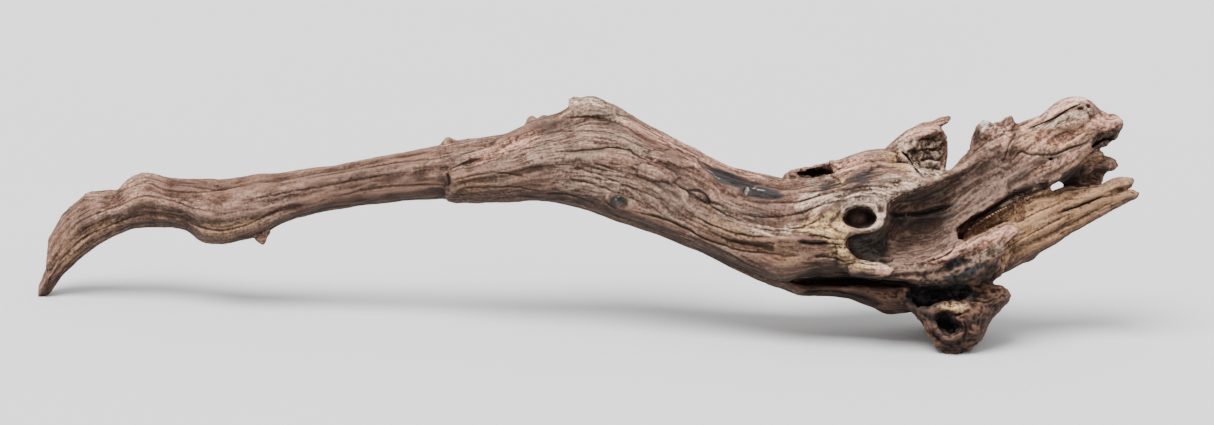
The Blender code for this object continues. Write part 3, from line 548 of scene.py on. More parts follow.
# Cracks in the front: name, half width, depth, line
CRACKS = [
    ("trunk_upper", 1.3, 2.6, [(410.5, 161), (430.5, 162.5), (447, 164), (458.5, 165), (473, 163),
        (478.5, 159), (490.5, 152)]),
    ("trunk_short", 1.2, 2, [(443, 153), (456, 149), (469, 145)]),
    ("trunk_low_left", 1.5, 3, [(405.5, 129), (421.5, 128), (436, 124), (450.5, 118.5)]),
    ("lens_line", 1.1, 2.2, [(504, 141), (506.5, 138.5), (521.5, 129), (535, 120.5), (549.5, 112),
        (563, 106.5)]),
    ("lens_upper", 1.1, 1.8, [(520, 130), (527, 131), (534.5, 127), (538.5, 121)]),
    ("trunk_long", 1.4, 2.8, [(469.5, 116), (497, 109), (518.5, 100.5), (529.5, 94), (546.5, 87.5),
        (564, 82.5), (586.5, 80.5), (601, 77.5)]),
    ("flake_step", 1.8, 2.6, [(549.5, 92), (561.5, 89), (576, 86.5), (586.5, 85)]),
    ("ochre_gap", 2.2, 4.5, [(607, 90.5), (619, 88.5), (633, 89)]),
    ("ochre_gap_upper", 1.4, 2.4, [(614.5, 95), (627, 94), (635, 91)]),
    ("pocket_line", 1.4, 2.6, [(619, 78.5), (633.5, 77.5), (646.5, 73.5)]),
    ("sheet_black", 2.4, 6, [(678.5, 112.5), (689.5, 111), (703, 112), (717.5, 115), (731, 119)]),
    ("sheet_upper", 1.2, 2, [(684, 121), (701.5, 123), (721.5, 131), (739, 141)]),
    ("sheet_low", 1.5, 3, [(708, 73), (721.5, 77.5), (729, 81.5), (734.5, 89)]),
    ("arm_long", 1.6, 4, [(787, 178.5), (793.5, 181), (808, 186.5), (824, 195.5), (832, 199.5),
        (839, 202.5)]),
    ("arm_fold", 1.2, 2.3, [(776.5, 151), (781, 157), (786.5, 162), (795, 159), (809.5, 159),
        (826.5, 165), (841.5, 169.5)]),
    ("arm_scar", 1.2, 2.2, [(772, 153), (775, 163), (779, 172), (783, 178.5)]),
    ("plank_seam", 1.5, 3.4, [(814.5, 112), (833, 118.5), (846.5, 124), (855, 128)]),
    ("plank_line_a", 1, 1.5, [(757.5, 73.5), (777.5, 86.5), (801.5, 100), (827, 113)]),
    ("plank_line_b", 1, 1.3, [(784, 105.5), (801.5, 114.5), (822.5, 122.5)]),
    ("plank_line_c", 1, 1.3, [(829.5, 105.5), (848, 116), (865.5, 123)]),
    ("shelf_line", 1.4, 2.4, [(609.5, 50.5), (633.5, 51), (657.5, 47), (672, 41)]),
    ("sleeve_gap", 2.2, 5, [(327, 145), (329, 139), (328.5, 133.5)]),
    ("sleeve_line_a", 1.2, 1.8, [(331, 138.5), (349.5, 142.5), (369.5, 145), (393.5, 141)]),
    ("sleeve_line_b", 1.1, 1.6, [(334.5, 131), (357.5, 133.5), (381.5, 133.5), (405.5, 129.5)]),
    ("crest_line_a", 1.1, 1.8, [(419, 189), (441.5, 189.5), (461.5, 185.5), (481.5, 175),
        (501.5, 165.5)]),
    ("crest_line_b", 1.1, 1.8, [(397.5, 173.5), (421.5, 179), (449.5, 178.5), (473.5, 171),
        (493.5, 161.5)]),
    ("crest_line_c", 1, 1.4, [(369.5, 161.5), (393.5, 165), (411, 170.5)]),
    ("barrel_line_a", 1.2, 1.8, [(557.5, 113), (581.5, 109.5), (605.5, 112), (629.5, 120), (649.5, 124)]),
    ("barrel_line_b", 1.1, 1.6, [(565.5, 102.5), (589.5, 99), (609.5, 101.5), (632, 112)]),
    ("barrel_line_c", 1.2, 1.8, [(577.5, 121), (601.5, 121), (625.5, 126.5), (649.5, 132), (677.5, 136)]),
    ("barrel_line_d", 1.1, 1.4, [(601.5, 128), (633.5, 132), (665.5, 141), (693.5, 145.5)]),
    ("belly_a", 1.3, 2.2, [(521.5, 112), (541.5, 102.5), (565.5, 95), (589.5, 93)]),
    ("belly_b", 1.2, 1.6, [(417.5, 141), (441.5, 136), (465.5, 128), (489.5, 119)]),
    ("belly_c", 1.1, 1.5, [(425.5, 151), (449.5, 143), (473.5, 133.5), (493.5, 125.5), (507, 119)]),
    ("limb_a", 1.2, 1.7, [(17.5, 91), (32, 105.5), (49.5, 113.5), (67, 120), (86.5, 126.5),
        (105.5, 123), (126.5, 116), (147, 113.5)]),
    ("limb_b", 1.2, 1.7, [(22.5, 81.5), (38.5, 94.5), (56, 102.5), (73.5, 109), (91, 113)]),
    ("limb_c", 1.2, 1.8, [(57.5, 125.5), (72, 133), (86.5, 137), (102.5, 131), (121.5, 129.5),
        (145.5, 131), (169.5, 135)]),
    ("limb_d", 1.2, 1.6, [(109.5, 111), (126.5, 102.5), (145.5, 98.5), (165, 102.5), (185.5, 112),
        (209.5, 119)]),
    ("limb_e", 1.1, 1.6, [(153.5, 121), (177.5, 125), (201.5, 129.5), (233.5, 135), (265.5, 141),
        (293.5, 145.5)]),
    ("limb_f", 1.1, 1.5, [(209.5, 139), (237.5, 144), (265.5, 149), (297.5, 154.5), (320, 157)]),
    ("limb_g", 1.2, 1.6, [(233.5, 125), (261.5, 131), (289.5, 134.5), (321.5, 136)]),
    ("stub_seam", 1.6, 3.6, [(689.5, 163.5), (698.5, 154.5), (703, 146.5), (709, 139.5)]),
    ("stub_ring_a", 1.4, 2.6, [(701, 169), (710.5, 172), (720, 170.5)]),
    ("stub_ring_b", 1.4, 2.6, [(701, 162.5), (711, 164), (722.5, 161.5)]),
    ("stub_ring_c", 1.4, 2.6, [(705.5, 155), (714.5, 156), (722.5, 153.5)]),
    ("stub_ring_d", 1.3, 2.4, [(709.5, 148), (717, 149), (723, 146.5)]),
    ("lump_line_a", 1.3, 2.4, [(709.5, 25), (717, 14.5), (725.5, 8)]),
    ("lump_line_b", 1.3, 2.4, [(739, 29), (742.5, 19), (739, 9)]),
    ("lump_line_c", 1.3, 2.2, [(747, 45), (757, 41), (766.5, 45)]),
]

# Ridges and troughs: name, half width, height, line
RIDGES = [
    ("stub_layer_a", 2.5, 1.1, [(698.5, 172), (705.5, 175), (715, 176), (723, 173.5)]),
    ("stub_layer_b", 2.5, 1.1, [(699, 165.5), (709, 166.5), (717, 167), (724, 165.5)]),
    ("stub_layer_c", 2.5, 1.1, [(703, 158.5), (712, 159.5), (722.5, 157.5)]),
    ("stub_layer_d", 2.5, 1.1, [(707, 151), (715, 152.5), (722.5, 150.5)]),
    ("arm_shoulder", 4, 1.5, [(757, 163), (769.5, 166.5), (779, 165)]),
    ("sleeve_rim", 4, 1.2, [(330.5, 145), (332, 135), (331, 125)]),
    ("sleeve_diagonal", 3.5, 1.6, [(328, 147), (345.5, 157), (361.5, 163), (377.5, 173.5),
        (401.5, 182.5), (417.5, 185.5)]),
    ("sleeve_hollow", 6, -1.8, [(339, 149), (353.5, 150.5), (373.5, 155), (393.5, 157)]),
    ("crest_shoulder", 5, 1.6, [(417.5, 197), (441.5, 197), (465.5, 188), (489.5, 174.5),
        (513.5, 161.5)]),
    ("crest_trough", 6, -1.6, [(414.5, 182.5), (441.5, 185), (465.5, 179), (489.5, 166.5), (510.5, 157)]),
    ("barrel_ridge_a", 5, 1.5, [(529.5, 131), (553.5, 121), (577.5, 116), (601.5, 117), (625.5, 125),
        (645.5, 129)]),
    ("barrel_trough_a", 5, -1.5, [(529.5, 123), (553.5, 113), (577.5, 106.5), (601.5, 106.5),
        (621.5, 115)]),
    ("barrel_ridge_b", 5, 1.5, [(521.5, 110.5), (545.5, 100), (569.5, 91), (593.5, 89)]),
    ("fibres_ridge", 4, 1.4, [(641.5, 134.5), (665.5, 139), (689.5, 142.5), (709.5, 139)]),
    ("fibres_trough", 4, -1.4, [(633.5, 126.5), (657.5, 131), (677.5, 133.5), (693.5, 136)]),
    ("rim_knot", 3, 1.6, [(642.5, 108), (645.5, 117), (653.5, 121), (664, 120), (672, 113.5)]),
    ("lip_crest", 5, 1.8, [(713.5, 73.5), (733.5, 81.5), (753.5, 91), (773, 98.5)]),
    ("lip_trough", 5, -2.2, [(709.5, 65.5), (729.5, 72), (749.5, 78.5), (765.5, 85.5)]),
    ("sheet_ridge", 4, 1.2, [(693.5, 83), (721.5, 89), (745.5, 104), (769.5, 122.5)]),
    ("sheet_edge", 3, 1, [(721.5, 138.5), (741.5, 150.5), (757.5, 163), (772, 170.5)]),
    ("scar_column", 4, 1.8, [(773, 155), (774.5, 165), (777.5, 173.5)]),
    ("arm_ridge", 3, 1.6, [(815, 181.5), (824, 182), (834.5, 186), (841, 192)]),
    ("arm_field", 7, -2, [(793.5, 173.5), (809.5, 173), (827, 176), (840, 182.5)]),
    ("arm_top", 4, 1.2, [(805.5, 189.5), (817.5, 198.5), (829.5, 203), (840, 201)]),
    ("plank_crest", 4, 1, [(769.5, 93), (801.5, 112), (833.5, 124), (861.5, 135)]),
    ("limb_ridge_a", 5, 1.4, [(25.5, 97.5), (45.5, 110.5), (65.5, 116), (85.5, 122.5), (109.5, 118.5),
        (133.5, 110.5), (155, 110.5)]),
    ("limb_ridge_b", 5, 1.3, [(61.5, 129), (81.5, 141), (101.5, 136), (129.5, 134.5), (161.5, 137)]),
    ("limb_trough", 5, -1.4, [(41.5, 119), (64, 123), (85.5, 131), (107, 127), (133.5, 123),
        (161.5, 126.5)]),
    ("limb_ridge_c", 4, 1.2, [(161.5, 131), (193.5, 134.5), (233.5, 141), (273.5, 147), (313.5, 153)]),
    ("limb_trough_c", 4, -1.3, [(169.5, 120), (209.5, 127), (249.5, 133.5), (289.5, 139),
        (321.5, 142.5)]),
    ("limb_ridge_d", 4, 1.2, [(209.5, 117), (249.5, 125), (289.5, 129.5), (321.5, 130.5)]),
    ("slab_ridge", 4, 1.4, [(603, 49.5), (625.5, 50.5), (649.5, 48), (672, 40)]),
]

# Raised and sunk plates: name, height, half width of the edge, outline
PLATES = [
    ("knot_eye", -0.6, 0.8, [(457, 122.5), (458.5, 125.5), (462.5, 127), (467, 126.5), (471, 123),
        (471, 120), (467, 117.5), (461.5, 118), (457.5, 120)]),
    ("lens", -0.9, 0.8, [(520, 130.5), (526.5, 131), (533, 127), (537, 121.5), (531, 123), (523, 127)]),
    ("bark_plate_long", 1.6, 1.2, [(477, 149.5), (484, 152), (494.5, 149), (504, 146.5), (512, 141.5),
        (507, 137.5), (494.5, 139), (482.5, 141.5)]),
    ("bark_plate_red", 1.4, 1.2, [(488, 161), (497.5, 163), (512, 161), (526.5, 155), (529.5, 149.5),
        (518.5, 149), (504, 153), (493, 154.5)]),
    ("stepped_flake", -1.4, 1, [(547, 93), (561.5, 91), (577.5, 89.5), (589, 89), (588, 81.5),
        (571, 83), (555, 85.5)]),
    ("fibre_plate", 1.3, 1.2, [(664, 138.5), (683, 145.5), (707, 142.5), (717, 137), (699, 131),
        (681.5, 128), (667, 129.5)]),
    ("ochre_plate", 1.2, 1.4, [(638.5, 86.5), (656, 73.5), (673.5, 73.5), (685, 67), (673.5, 60),
        (654.5, 61.5), (640, 70.5)]),
    ("top_plate", 1.5, 1.2, [(632, 145.5), (646.5, 153), (659, 155), (670.5, 150.5), (657.5, 142.5),
        (643, 137.5)]),
]

# Pits, and one pimple: name, half width, half height, depth, middle
PITS = [
    ("arm_pit_a", 3.4, 1.8, 4, (833.5, 197)),
    ("arm_pit_b", 2.2, 1.8, 3, (840, 198.5)),
    ("chip_white", 2.6, 2.6, 0.8, (566.5, 131)),
    ("pimple", 3, 2.4, -2.2, (380, 170.5)),
]

# Stains along a line, with some strips of painted shade among them: stain, half width, strength, line
STREAKS = [
    ("dark", 0.7, 0.7, [(641, 103), (640, 112), (645.5, 119), (656, 122), (667, 121), (673.5, 115)]),
    ("dark", 0.8, 0.6, [(633, 105), (636, 115), (644, 122.5), (656, 126), (670.5, 125)]),
    ("dark", 0.7, 0.6, [(628, 110.5), (637, 120), (648, 127.5), (662.5, 131.5), (678.5, 131)]),
    ("dark", 0.8, 0.7, [(620, 97), (631, 101.5), (640, 98.5), (647, 96)]),
    ("dark", 0.6, 0.55, [(617.5, 105), (630.5, 115), (644, 126)]),
    ("dark", 0.7, 0.5, [(646.5, 131), (662.5, 137), (681.5, 140), (699, 141)]),
    ("dark", 1.2, 0.6, [(625, 88), (635, 83), (644, 76)]),
    ("dark", 1, 0.5, [(609.5, 73.5), (625.5, 70.5), (640, 65.5)]),
    ("dark", 0.8, 0.6, [(651, 70.5), (662.5, 68), (678.5, 67)]),
    ("char", 1.6, 0.8, [(717, 32), (718.5, 25.5), (723, 17.5), (731, 13)]),
    ("dark", 2.5, 0.6, [(713, 25.5), (717, 17.5), (723, 11), (733, 9)]),
    ("tan", 2, 0.5, [(742.5, 38.5), (747, 30.5), (745.5, 19)]),
    ("dark", 1.4, 0.7, [(737.5, 30.5), (742.5, 25.5), (743, 19), (739, 14.5)]),
    ("dark", 0.9, 0.55, [(457, 122.5), (458.5, 125.5), (462.5, 127.5), (467, 126.5), (471.5, 123),
        (471.5, 120), (467, 117.5), (461.5, 117.5), (457.5, 120), (457, 122.5)]),
    ("char", 0.8, 1, [(458, 121), (462.5, 123.5), (468, 125)]),
    ("char", 0.8, 1, [(460, 118.5), (465, 121), (470.5, 122)]),
    ("chip", 0.5, 0.5, [(459, 123), (465, 126)]),
    ("chip", 0.4, 0.4, [(460, 119.5), (469, 123.5)]),
    ("dark", 1.2, 0.9, [(518.5, 131), (526.5, 131.5), (533, 128), (537.5, 121), (531, 122.5),
        (523, 126.5), (518.5, 131)]),
    # Painted shade in the shelf slot
    ("dark", 7, 0.9, [(603, 57), (621.5, 58.5), (641.5, 58.5), (673.5, 57.5), (693.5, 56)]),
    # Painted shadow under the sheet's lower edge, along the slot
    ("dark", 1.6, 0.5, [(737.5, 99), (757.5, 113), (777.5, 125.5), (797.5, 133.5)]),
    ("dark", 5, 0.8, [(609.5, 47), (641.5, 46.5), (673.5, 40)]),
    ("dark", 6, 0.45, [(752, 46.5), (761.5, 40), (757, 30.5)]),
    ("slab", 10, 0.3, [(561.5, 97.5), (593.5, 91), (629.5, 83)]),
    ("slab", 6, 0.35, [(833.5, 117.5), (857.5, 125.5), (880, 131)]),
    # Painted shadow on the limb where it goes into the sleeve, in these two strips
    ("dark", 5, 0.6, [(317, 139), (327, 139), (327, 133)]),
    ("dark", 4, 0.4, [(289.5, 137), (309.5, 138.5), (321.5, 138.5)]),
    ("dark", 3, 0.5, [(2.5, 49.5), (8, 56), (16, 62.5)]),
    ("dark", 3, 0.6, [(459, 122.5), (469, 121)]),
    ("dark", 3, 0.4, [(421.5, 163), (433.5, 162.5), (454.5, 164)]),
    ("dark", 4, 0.4, [(449.5, 187), (481.5, 175), (501.5, 163), (521.5, 155)]),
    ("dark", 4, 0.35, [(369.5, 171), (393.5, 181), (414.5, 184)]),
    ("dark", 4, 0.3, [(529.5, 97.5), (561.5, 86.5), (593.5, 80)]),
    ("chip", 0.6, 0.25, [(533, 149), (539, 145), (545, 139)]),
    ("chip", 0.6, 0.4, [(572, 133.5), (576, 131), (581, 131)]),
    ("pale", 3, 0.7, [(610.5, 125), (617.5, 125), (623, 127)]),
    ("pale", 3, 0.6, [(657.5, 75), (669.5, 73), (680, 69)]),
    ("pale", 5, 0.5, [(605.5, 119), (625.5, 122.5), (643, 127)]),
    ("pale", 4, 0.4, [(565.5, 99), (589.5, 97.5), (605.5, 101)]),
    ("pale", 3, 0.5, [(417.5, 200), (437.5, 202.5), (454.5, 199)]),
    ("pale", 3, 0.15, [(481.5, 149), (497.5, 147), (507, 144)]),
    ("pale", 2, 0.8, [(769.5, 119), (785.5, 127), (803, 137)]),
    ("pale", 2, 0.6, [(709, 135), (693.5, 130.5), (681.5, 123)]),
    ("pink", 12, 0.15, [(13.5, 83), (29.5, 103), (57.5, 123), (81.5, 137.5)]),
    ("pink", 10, 0.1, [(113.5, 127), (161.5, 127), (209.5, 134.5)]),
    ("pink", 7, 0.4, [(345.5, 155), (369.5, 165), (401.5, 177.5)]),
    ("pink", 8, 0.35, [(465.5, 187), (497.5, 171), (529.5, 157), (577.5, 142.5)]),
    ("tan", 9, 0.4, [(17.5, 73.5), (33.5, 91), (65.5, 105.5)]),
    ("tan", 9, 0.4, [(133.5, 103), (153.5, 99), (173.5, 105.5)]),
    ("tan", 10, 0.3, [(333.5, 135), (345.5, 137), (353.5, 131)]),
    ("slab", 10, 0.3, [(333.5, 134.5), (353.5, 137.5), (385.5, 134.5), (417.5, 126.5)]),
    ("slab", 5, 0.45, [(449.5, 118.5), (481.5, 110.5), (513.5, 97.5)]),
    ("slab", 8, 0.42, [(89.5, 134.5), (129.5, 134.5), (177.5, 137.5), (225.5, 144), (273.5, 153),
        (321.5, 163)]),
    ("slab", 8, 0.3, [(14.5, 83), (29.5, 105.5), (49.5, 120), (73.5, 131)]),
    ("sheet", 10, 0.35, [(129.5, 110.5), (177.5, 119), (233.5, 129.5), (289.5, 136), (321.5, 139)]),
    ("slab", 7, 0.3, [(337.5, 142.5), (369.5, 147), (409.5, 145.5)]),
    ("tan", 12, 0.4, [(529.5, 103), (569.5, 91), (609.5, 77)]),
    ("grey", 8, 0.3, [(209.5, 139), (257.5, 145.5), (305.5, 151)]),
    ("slab", 12, 0.38, [(201.5, 117), (241.5, 126.5), (289.5, 131), (325.5, 133)]),
    ("dark", 10, 0.25, [(233.5, 126.5), (281.5, 134.5), (321.5, 137.5)]),
    ("grey", 14, 0.45, [(417.5, 135), (449.5, 139), (497.5, 123)]),
    ("pale", 8, 0.1, [(425.5, 142.5), (449.5, 138.5), (481.5, 128)]),
    ("grey", 8, 0.7, [(429.5, 193.5), (449.5, 191), (473.5, 182.5)]),
    ("grey", 16, 0.5, [(353.5, 143), (401.5, 155), (449.5, 163)]),
    ("grey", 16, 0.35, [(449.5, 135), (513.5, 119), (577.5, 103)]),
    ("slab", 9, 0.3, [(529.5, 93), (569.5, 81.5), (609.5, 70.5), (649.5, 65.5)]),
    ("grey", 10, 0.5, [(425.5, 183), (465.5, 171), (489.5, 159)]),
    ("grey", 8, 0.35, [(25.5, 83), (49.5, 103), (73.5, 112)]),
    ("green", 6, 0.4, [(721.5, 51), (733.5, 49.5)]),
    ("char", 3, 0.7, [(646.5, 137.5), (656, 142.5), (667, 146.5)]),
    ("char", 2.5, 0.8, [(625.5, 131), (632, 133.5), (640, 136)]),
]

# Stained areas, with some patches of painted shade and a painted highlight among them: stain, half width of
# the edge, strength, outline
AREAS = [
    ("pale", 3, 0.5, [(684, 163), (692, 174.5), (701, 179), (700, 167), (705.5, 151), (710.5, 141),
        (701.5, 142.5), (693.5, 155)]),
    ("char", 2.5, 0.9, [(529, 153.5), (539, 151), (549, 147), (560, 142.5), (571, 137),
        (582.5, 134.5), (592, 131), (596, 126.5), (593, 123), (581.5, 124), (569.5, 125.5),
        (563, 126.5), (560, 131), (552, 133.5), (544, 137.5), (536, 144)]),
    ("ochre", 4, 0.75, [(607, 102.5), (617.5, 109), (627, 113.5), (640, 117), (643, 112),
        (642.5, 107), (648, 101), (656, 97.5), (649.5, 95), (646.5, 91), (646.5, 85), (649.5, 78.5),
        (657.5, 73.5), (672, 73), (667, 69), (654.5, 69), (640, 73.5), (632, 79), (630.5, 86.5),
        (637.5, 89), (630.5, 91), (619, 94.5), (609.5, 96)]),
    ("pink", 1.5, 0.95, [(668, 69.5), (676, 71.5), (682.5, 69), (683, 63), (677, 61), (669.5, 62.5)]),
    ("ochre", 3, 0.7, [(630.5, 134.5), (638.5, 141), (648, 143), (643, 136), (635, 129.5)]),
    ("ochre", 3, 0.35, [(673.5, 161.5), (689.5, 163), (699, 155), (707, 142.5), (693.5, 142.5),
        (677.5, 150.5)]),
    ("pale", 4, 0.45, [(640, 123), (649.5, 131), (664, 137.5), (681.5, 142.5), (693.5, 144),
        (705.5, 139), (713.5, 136), (701.5, 132), (687, 126.5), (681, 123), (678.5, 118.5),
        (681, 110.5), (680, 104), (670.5, 98.5), (661, 97.5), (653.5, 100), (645.5, 105.5),
        (642.5, 110.5)]),
    ("pink", 3, 0.6, [(635, 152), (646.5, 155), (659, 161), (665.5, 157), (662.5, 151), (649.5, 147),
        (640, 142.5)]),
    ("grey", 3, 0.8, [(612, 141), (635, 143), (632, 136), (616, 133)]),
    ("char", 3, 0.7, [(645, 137.5), (654.5, 142.5), (664, 147), (673.5, 144), (667, 139), (656, 134.5)]),
    ("tan", 3, 0.5, [(680, 119), (689.5, 125.5), (709.5, 133.5), (725.5, 138.5), (717.5, 132),
        (701.5, 124), (689.5, 117.5)]),
    ("green", 3, 0.5, [(689.5, 123), (713.5, 131), (729.5, 134.5), (721.5, 125), (701.5, 120)]),
    ("char", 4, 0.8, [(680, 113), (693.5, 111), (713.5, 115), (731, 120), (728, 113), (709.5, 108),
        (689.5, 103), (681, 106.5)]),
    ("green", 5, 0.5, [(685.5, 105.5), (721.5, 113.5), (737.5, 119), (729.5, 105.5), (701.5, 99)]),
    ("green", 4, 1, [(646.5, 94.5), (665.5, 97.5), (680, 101), (678.5, 88), (677, 77), (662.5, 75),
        (649.5, 81.5)]),
    ("sheet", 5, 0.9, [(679, 119), (693.5, 125.5), (709.5, 133), (729.5, 141), (749.5, 152),
        (769.5, 161.5), (785.5, 151), (801.5, 143), (769.5, 122.5), (735, 101.5), (735, 89),
        (705.5, 73.5), (677.5, 73), (662.5, 75), (680, 101)]),
    ("pink", 5, 0.4, [(693.5, 91), (735, 101), (735, 89), (705.5, 73.5), (681.5, 73.5)]),
    ("slab", 3, 1, [(597.5, 57.5), (657.5, 57.5), (693.5, 56), (697.5, 38.5), (677.5, 32),
        (641.5, 45), (609.5, 48)]),
    ("slab", 4, 0.9, [(693.5, 56), (749.5, 56), (776, 53), (776, 41.5), (757.5, 27), (752, 6.5),
        (733.5, -3), (717.5, 7), (693.5, 37)]),
    ("slab", 4, 0.5, [(688, 67), (733.5, 69), (757.5, 73.5), (768, 79), (768, 65.5), (757.5, 55),
        (693.5, 56)]),
    ("pink", 3, 0.8, [(708, 73.5), (733.5, 85), (757.5, 95), (773.5, 104), (781, 102.5), (784, 97.5),
        (776, 91), (769.5, 93), (749.5, 83), (725.5, 73.5)]),
    ("grey", 4, 0.7, [(688, 69), (733.5, 70.5), (757.5, 85), (772, 89.5), (772, 81.5), (757.5, 73.5),
        (737.5, 56), (701.5, 57.5), (688, 62.5)]),
    ("char", 1.5, 0.95, [(726.5, 73.5), (732, 77.5), (738.5, 77), (742.5, 73.5), (736, 70.5),
        (729.5, 67), (725, 69)]),
    ("char", 1.5, 0.9, [(735, 64), (742.5, 69), (752, 73), (757, 71), (750.5, 66.5), (744, 61.5),
        (737, 59)]),
    ("char", 1.5, 0.85, [(725, 61.5), (731, 65), (734.5, 60), (742.5, 58.5), (738.5, 54.5), (728, 55)]),
    ("dark", 3, 0.6, [(757.5, 73.5), (769.5, 79), (768, 65.5), (760, 56), (750.5, 56), (753.5, 67)]),
    ("tan", 3, 0.85, [(737.5, 91), (757.5, 109.5), (777.5, 121), (801.5, 129.5), (837.5, 131),
        (872, 139), (881, 129), (849.5, 111), (809.5, 87), (769.5, 70.5), (776, 91), (784, 97.5),
        (772, 104), (747, 91)]),
    ("dark", 4, 0.35, [(785.5, 77), (809.5, 89.5), (849.5, 113), (853, 109), (817.5, 91), (793.5, 75)]),
    ("char", 3, 0.9, [(693.5, 56), (741.5, 56), (747, 51), (742.5, 43), (725.5, 42.5), (718.5, 38.5),
        (705.5, 35), (696, 41)]),
    ("ochre", 2, 0.45, [(718.5, 39), (725, 43), (741.5, 41.5), (745.5, 37), (737.5, 33.5),
        (725.5, 35), (720, 33.5)]),
    ("tan", 3, 0.5, [(693.5, 38.5), (709.5, 30.5), (717, 14.5), (712, 14.5), (702.5, 29)]),
    ("char", 3, 0.8, [(717, 30.5), (729.5, 32), (739, 22.5), (734.5, 14.5), (726.5, 14.5),
        (718.5, 22.5)]),
    ("char", 3, 0.6, [(699, 37), (715, 33.5), (720, 24), (713.5, 22.5)]),
    ("dark", 4, 0.55, [(715, 13), (750.5, 11), (749, 5), (733.5, -1.5), (721.5, 3)]),
    ("pink", 4, 0.45, [(752, 51), (769.5, 53.5), (772, 46.5), (765.5, 35), (757.5, 33.5)]),
    ("char", 2, 0.8, [(741, 49.5), (750.5, 53), (751, 43), (744, 41)]),
    ("tan", 3, 0.6, [(737.5, 29), (751, 27), (751, 15), (739, 14.5)]),
    # Painted shade in the shelf slot
    ("dark", 3, 0.7, [(600, 57), (657.5, 58.5), (693.5, 54.5), (691, 48), (649.5, 53), (609.5, 53)]),
    ("tan", 4, 0.4, [(665.5, 46.5), (689.5, 45), (693, 37), (677, 33)]),
    # The pale pink band along the arm's top, partly a painted highlight: these three patches make its top
    # paler
    ("pink", 3, 1, [(784, 181), (801.5, 189), (819, 204), (832, 206.5), (841.5, 204), (817.5, 192),
        (801.5, 184), (787, 178.5)]),
    ("pale", 5, 0.45, [(793.5, 185.5), (809.5, 193.5), (822.5, 203), (832, 205.5), (838.5, 202.5),
        (817.5, 193), (801.5, 185.5)]),
    ("pale", 5, 0.5, [(793.5, 181), (817.5, 189.5), (837.5, 197), (843, 193.5), (833.5, 186.5),
        (817.5, 182.5), (801.5, 180)]),
    ("tan", 4, 0.7, [(784, 176), (801.5, 179), (819, 181.5), (837.5, 188), (845.5, 185.5),
        (843, 177.5), (825.5, 166.5), (809.5, 161.5), (797.5, 163), (785.5, 166.5)]),
    ("pink", 5, 0.55, [(787, 173), (809.5, 178.5), (837.5, 187), (842.5, 179), (825.5, 169),
        (805.5, 163), (790.5, 165.5)]),
    ("grey", 5, 0.2, [(793.5, 171), (819, 176), (837.5, 182.5), (833.5, 173), (813.5, 163),
        (797.5, 165)]),
    ("pink", 3, 1, [(845, 193), (866.5, 189.5), (865.5, 182.5), (853.5, 177.5), (841.5, 181)]),
    ("pink", 4, 0.6, [(777.5, 141), (801.5, 150.5), (829.5, 161.5), (849.5, 173), (849.5, 169.5),
        (833.5, 159), (801.5, 144), (773.5, 125), (753.5, 113.5)]),
    ("pink", 3, 0.5, [(760, 179), (777.5, 184), (779, 171), (769.5, 166.5)]),
    ("pale", 3, 0.45, [(763, 181), (776, 182.5), (774.5, 173), (768, 171)]),
    ("chip", 1.5, 0.6, [(753.5, 187), (760, 187), (761.5, 181), (755, 178.5)]),
    ("dark", 2, 0.8, [(748, 176), (753.5, 181), (753.5, 169), (749.5, 168)]),
    ("dark", 3, 0.8, [(819, 145.5), (833.5, 150.5), (840, 149), (835, 137.5), (822.5, 131),
        (819, 137.5)]),
    ("tan", 3, 0.6, [(832, 158.5), (853, 161.5), (851, 156), (825.5, 147), (819, 145.5)]),
    ("dark", 3, 0.85, [(841.5, 169.5), (859, 176), (864, 179), (861, 170.5), (846.5, 165.5)]),
    ("pale", 3, 0.4, [(693, 163), (701.5, 170.5), (713.5, 173), (725, 172), (725.5, 163),
        (722.5, 155), (724, 145.5), (721.5, 141), (709, 141), (699, 155)]),
    ("grey", 3, 0.9, [(693, 163), (701.5, 170.5), (713.5, 173), (725, 172), (725.5, 163),
        (722.5, 155), (724, 145.5), (721.5, 141), (709, 141), (699, 155)]),
    ("pink", 4, 0.6, [(689.5, 174.5), (701.5, 181), (717.5, 185), (728, 189.5), (728, 185.5),
        (713.5, 178.5), (696, 171)]),
    # Painted shade in the gap behind the bark flake
    ("dark", 2, 0.9, [(607, 144), (616, 146.5), (627, 149.5), (636, 152), (631, 145), (629, 141.5),
        (609.5, 141)]),
    ("green", 1, 1, [(456.5, 122.5), (458.5, 126), (462.5, 127.5), (467, 126.5), (471.5, 123),
        (471.5, 120), (467, 117.5), (461.5, 117.5), (457.5, 120)]),
    ("slab", 1, 1, [(644, 108), (649.5, 114.5), (657.5, 117), (665.5, 113), (668, 108), (664, 102.5),
        (656, 101), (649, 103)]),
    ("dark", 1, 0.8, [(645, 108), (648, 114.5), (657, 117), (664, 116), (669, 110.5), (669, 105.5),
        (664, 101), (655, 100), (648, 103)]),
    ("chip", 0.8, 1, [(564.5, 129), (565.5, 131.5), (567.5, 133), (568.5, 130.5), (566.5, 128.5)]),
]

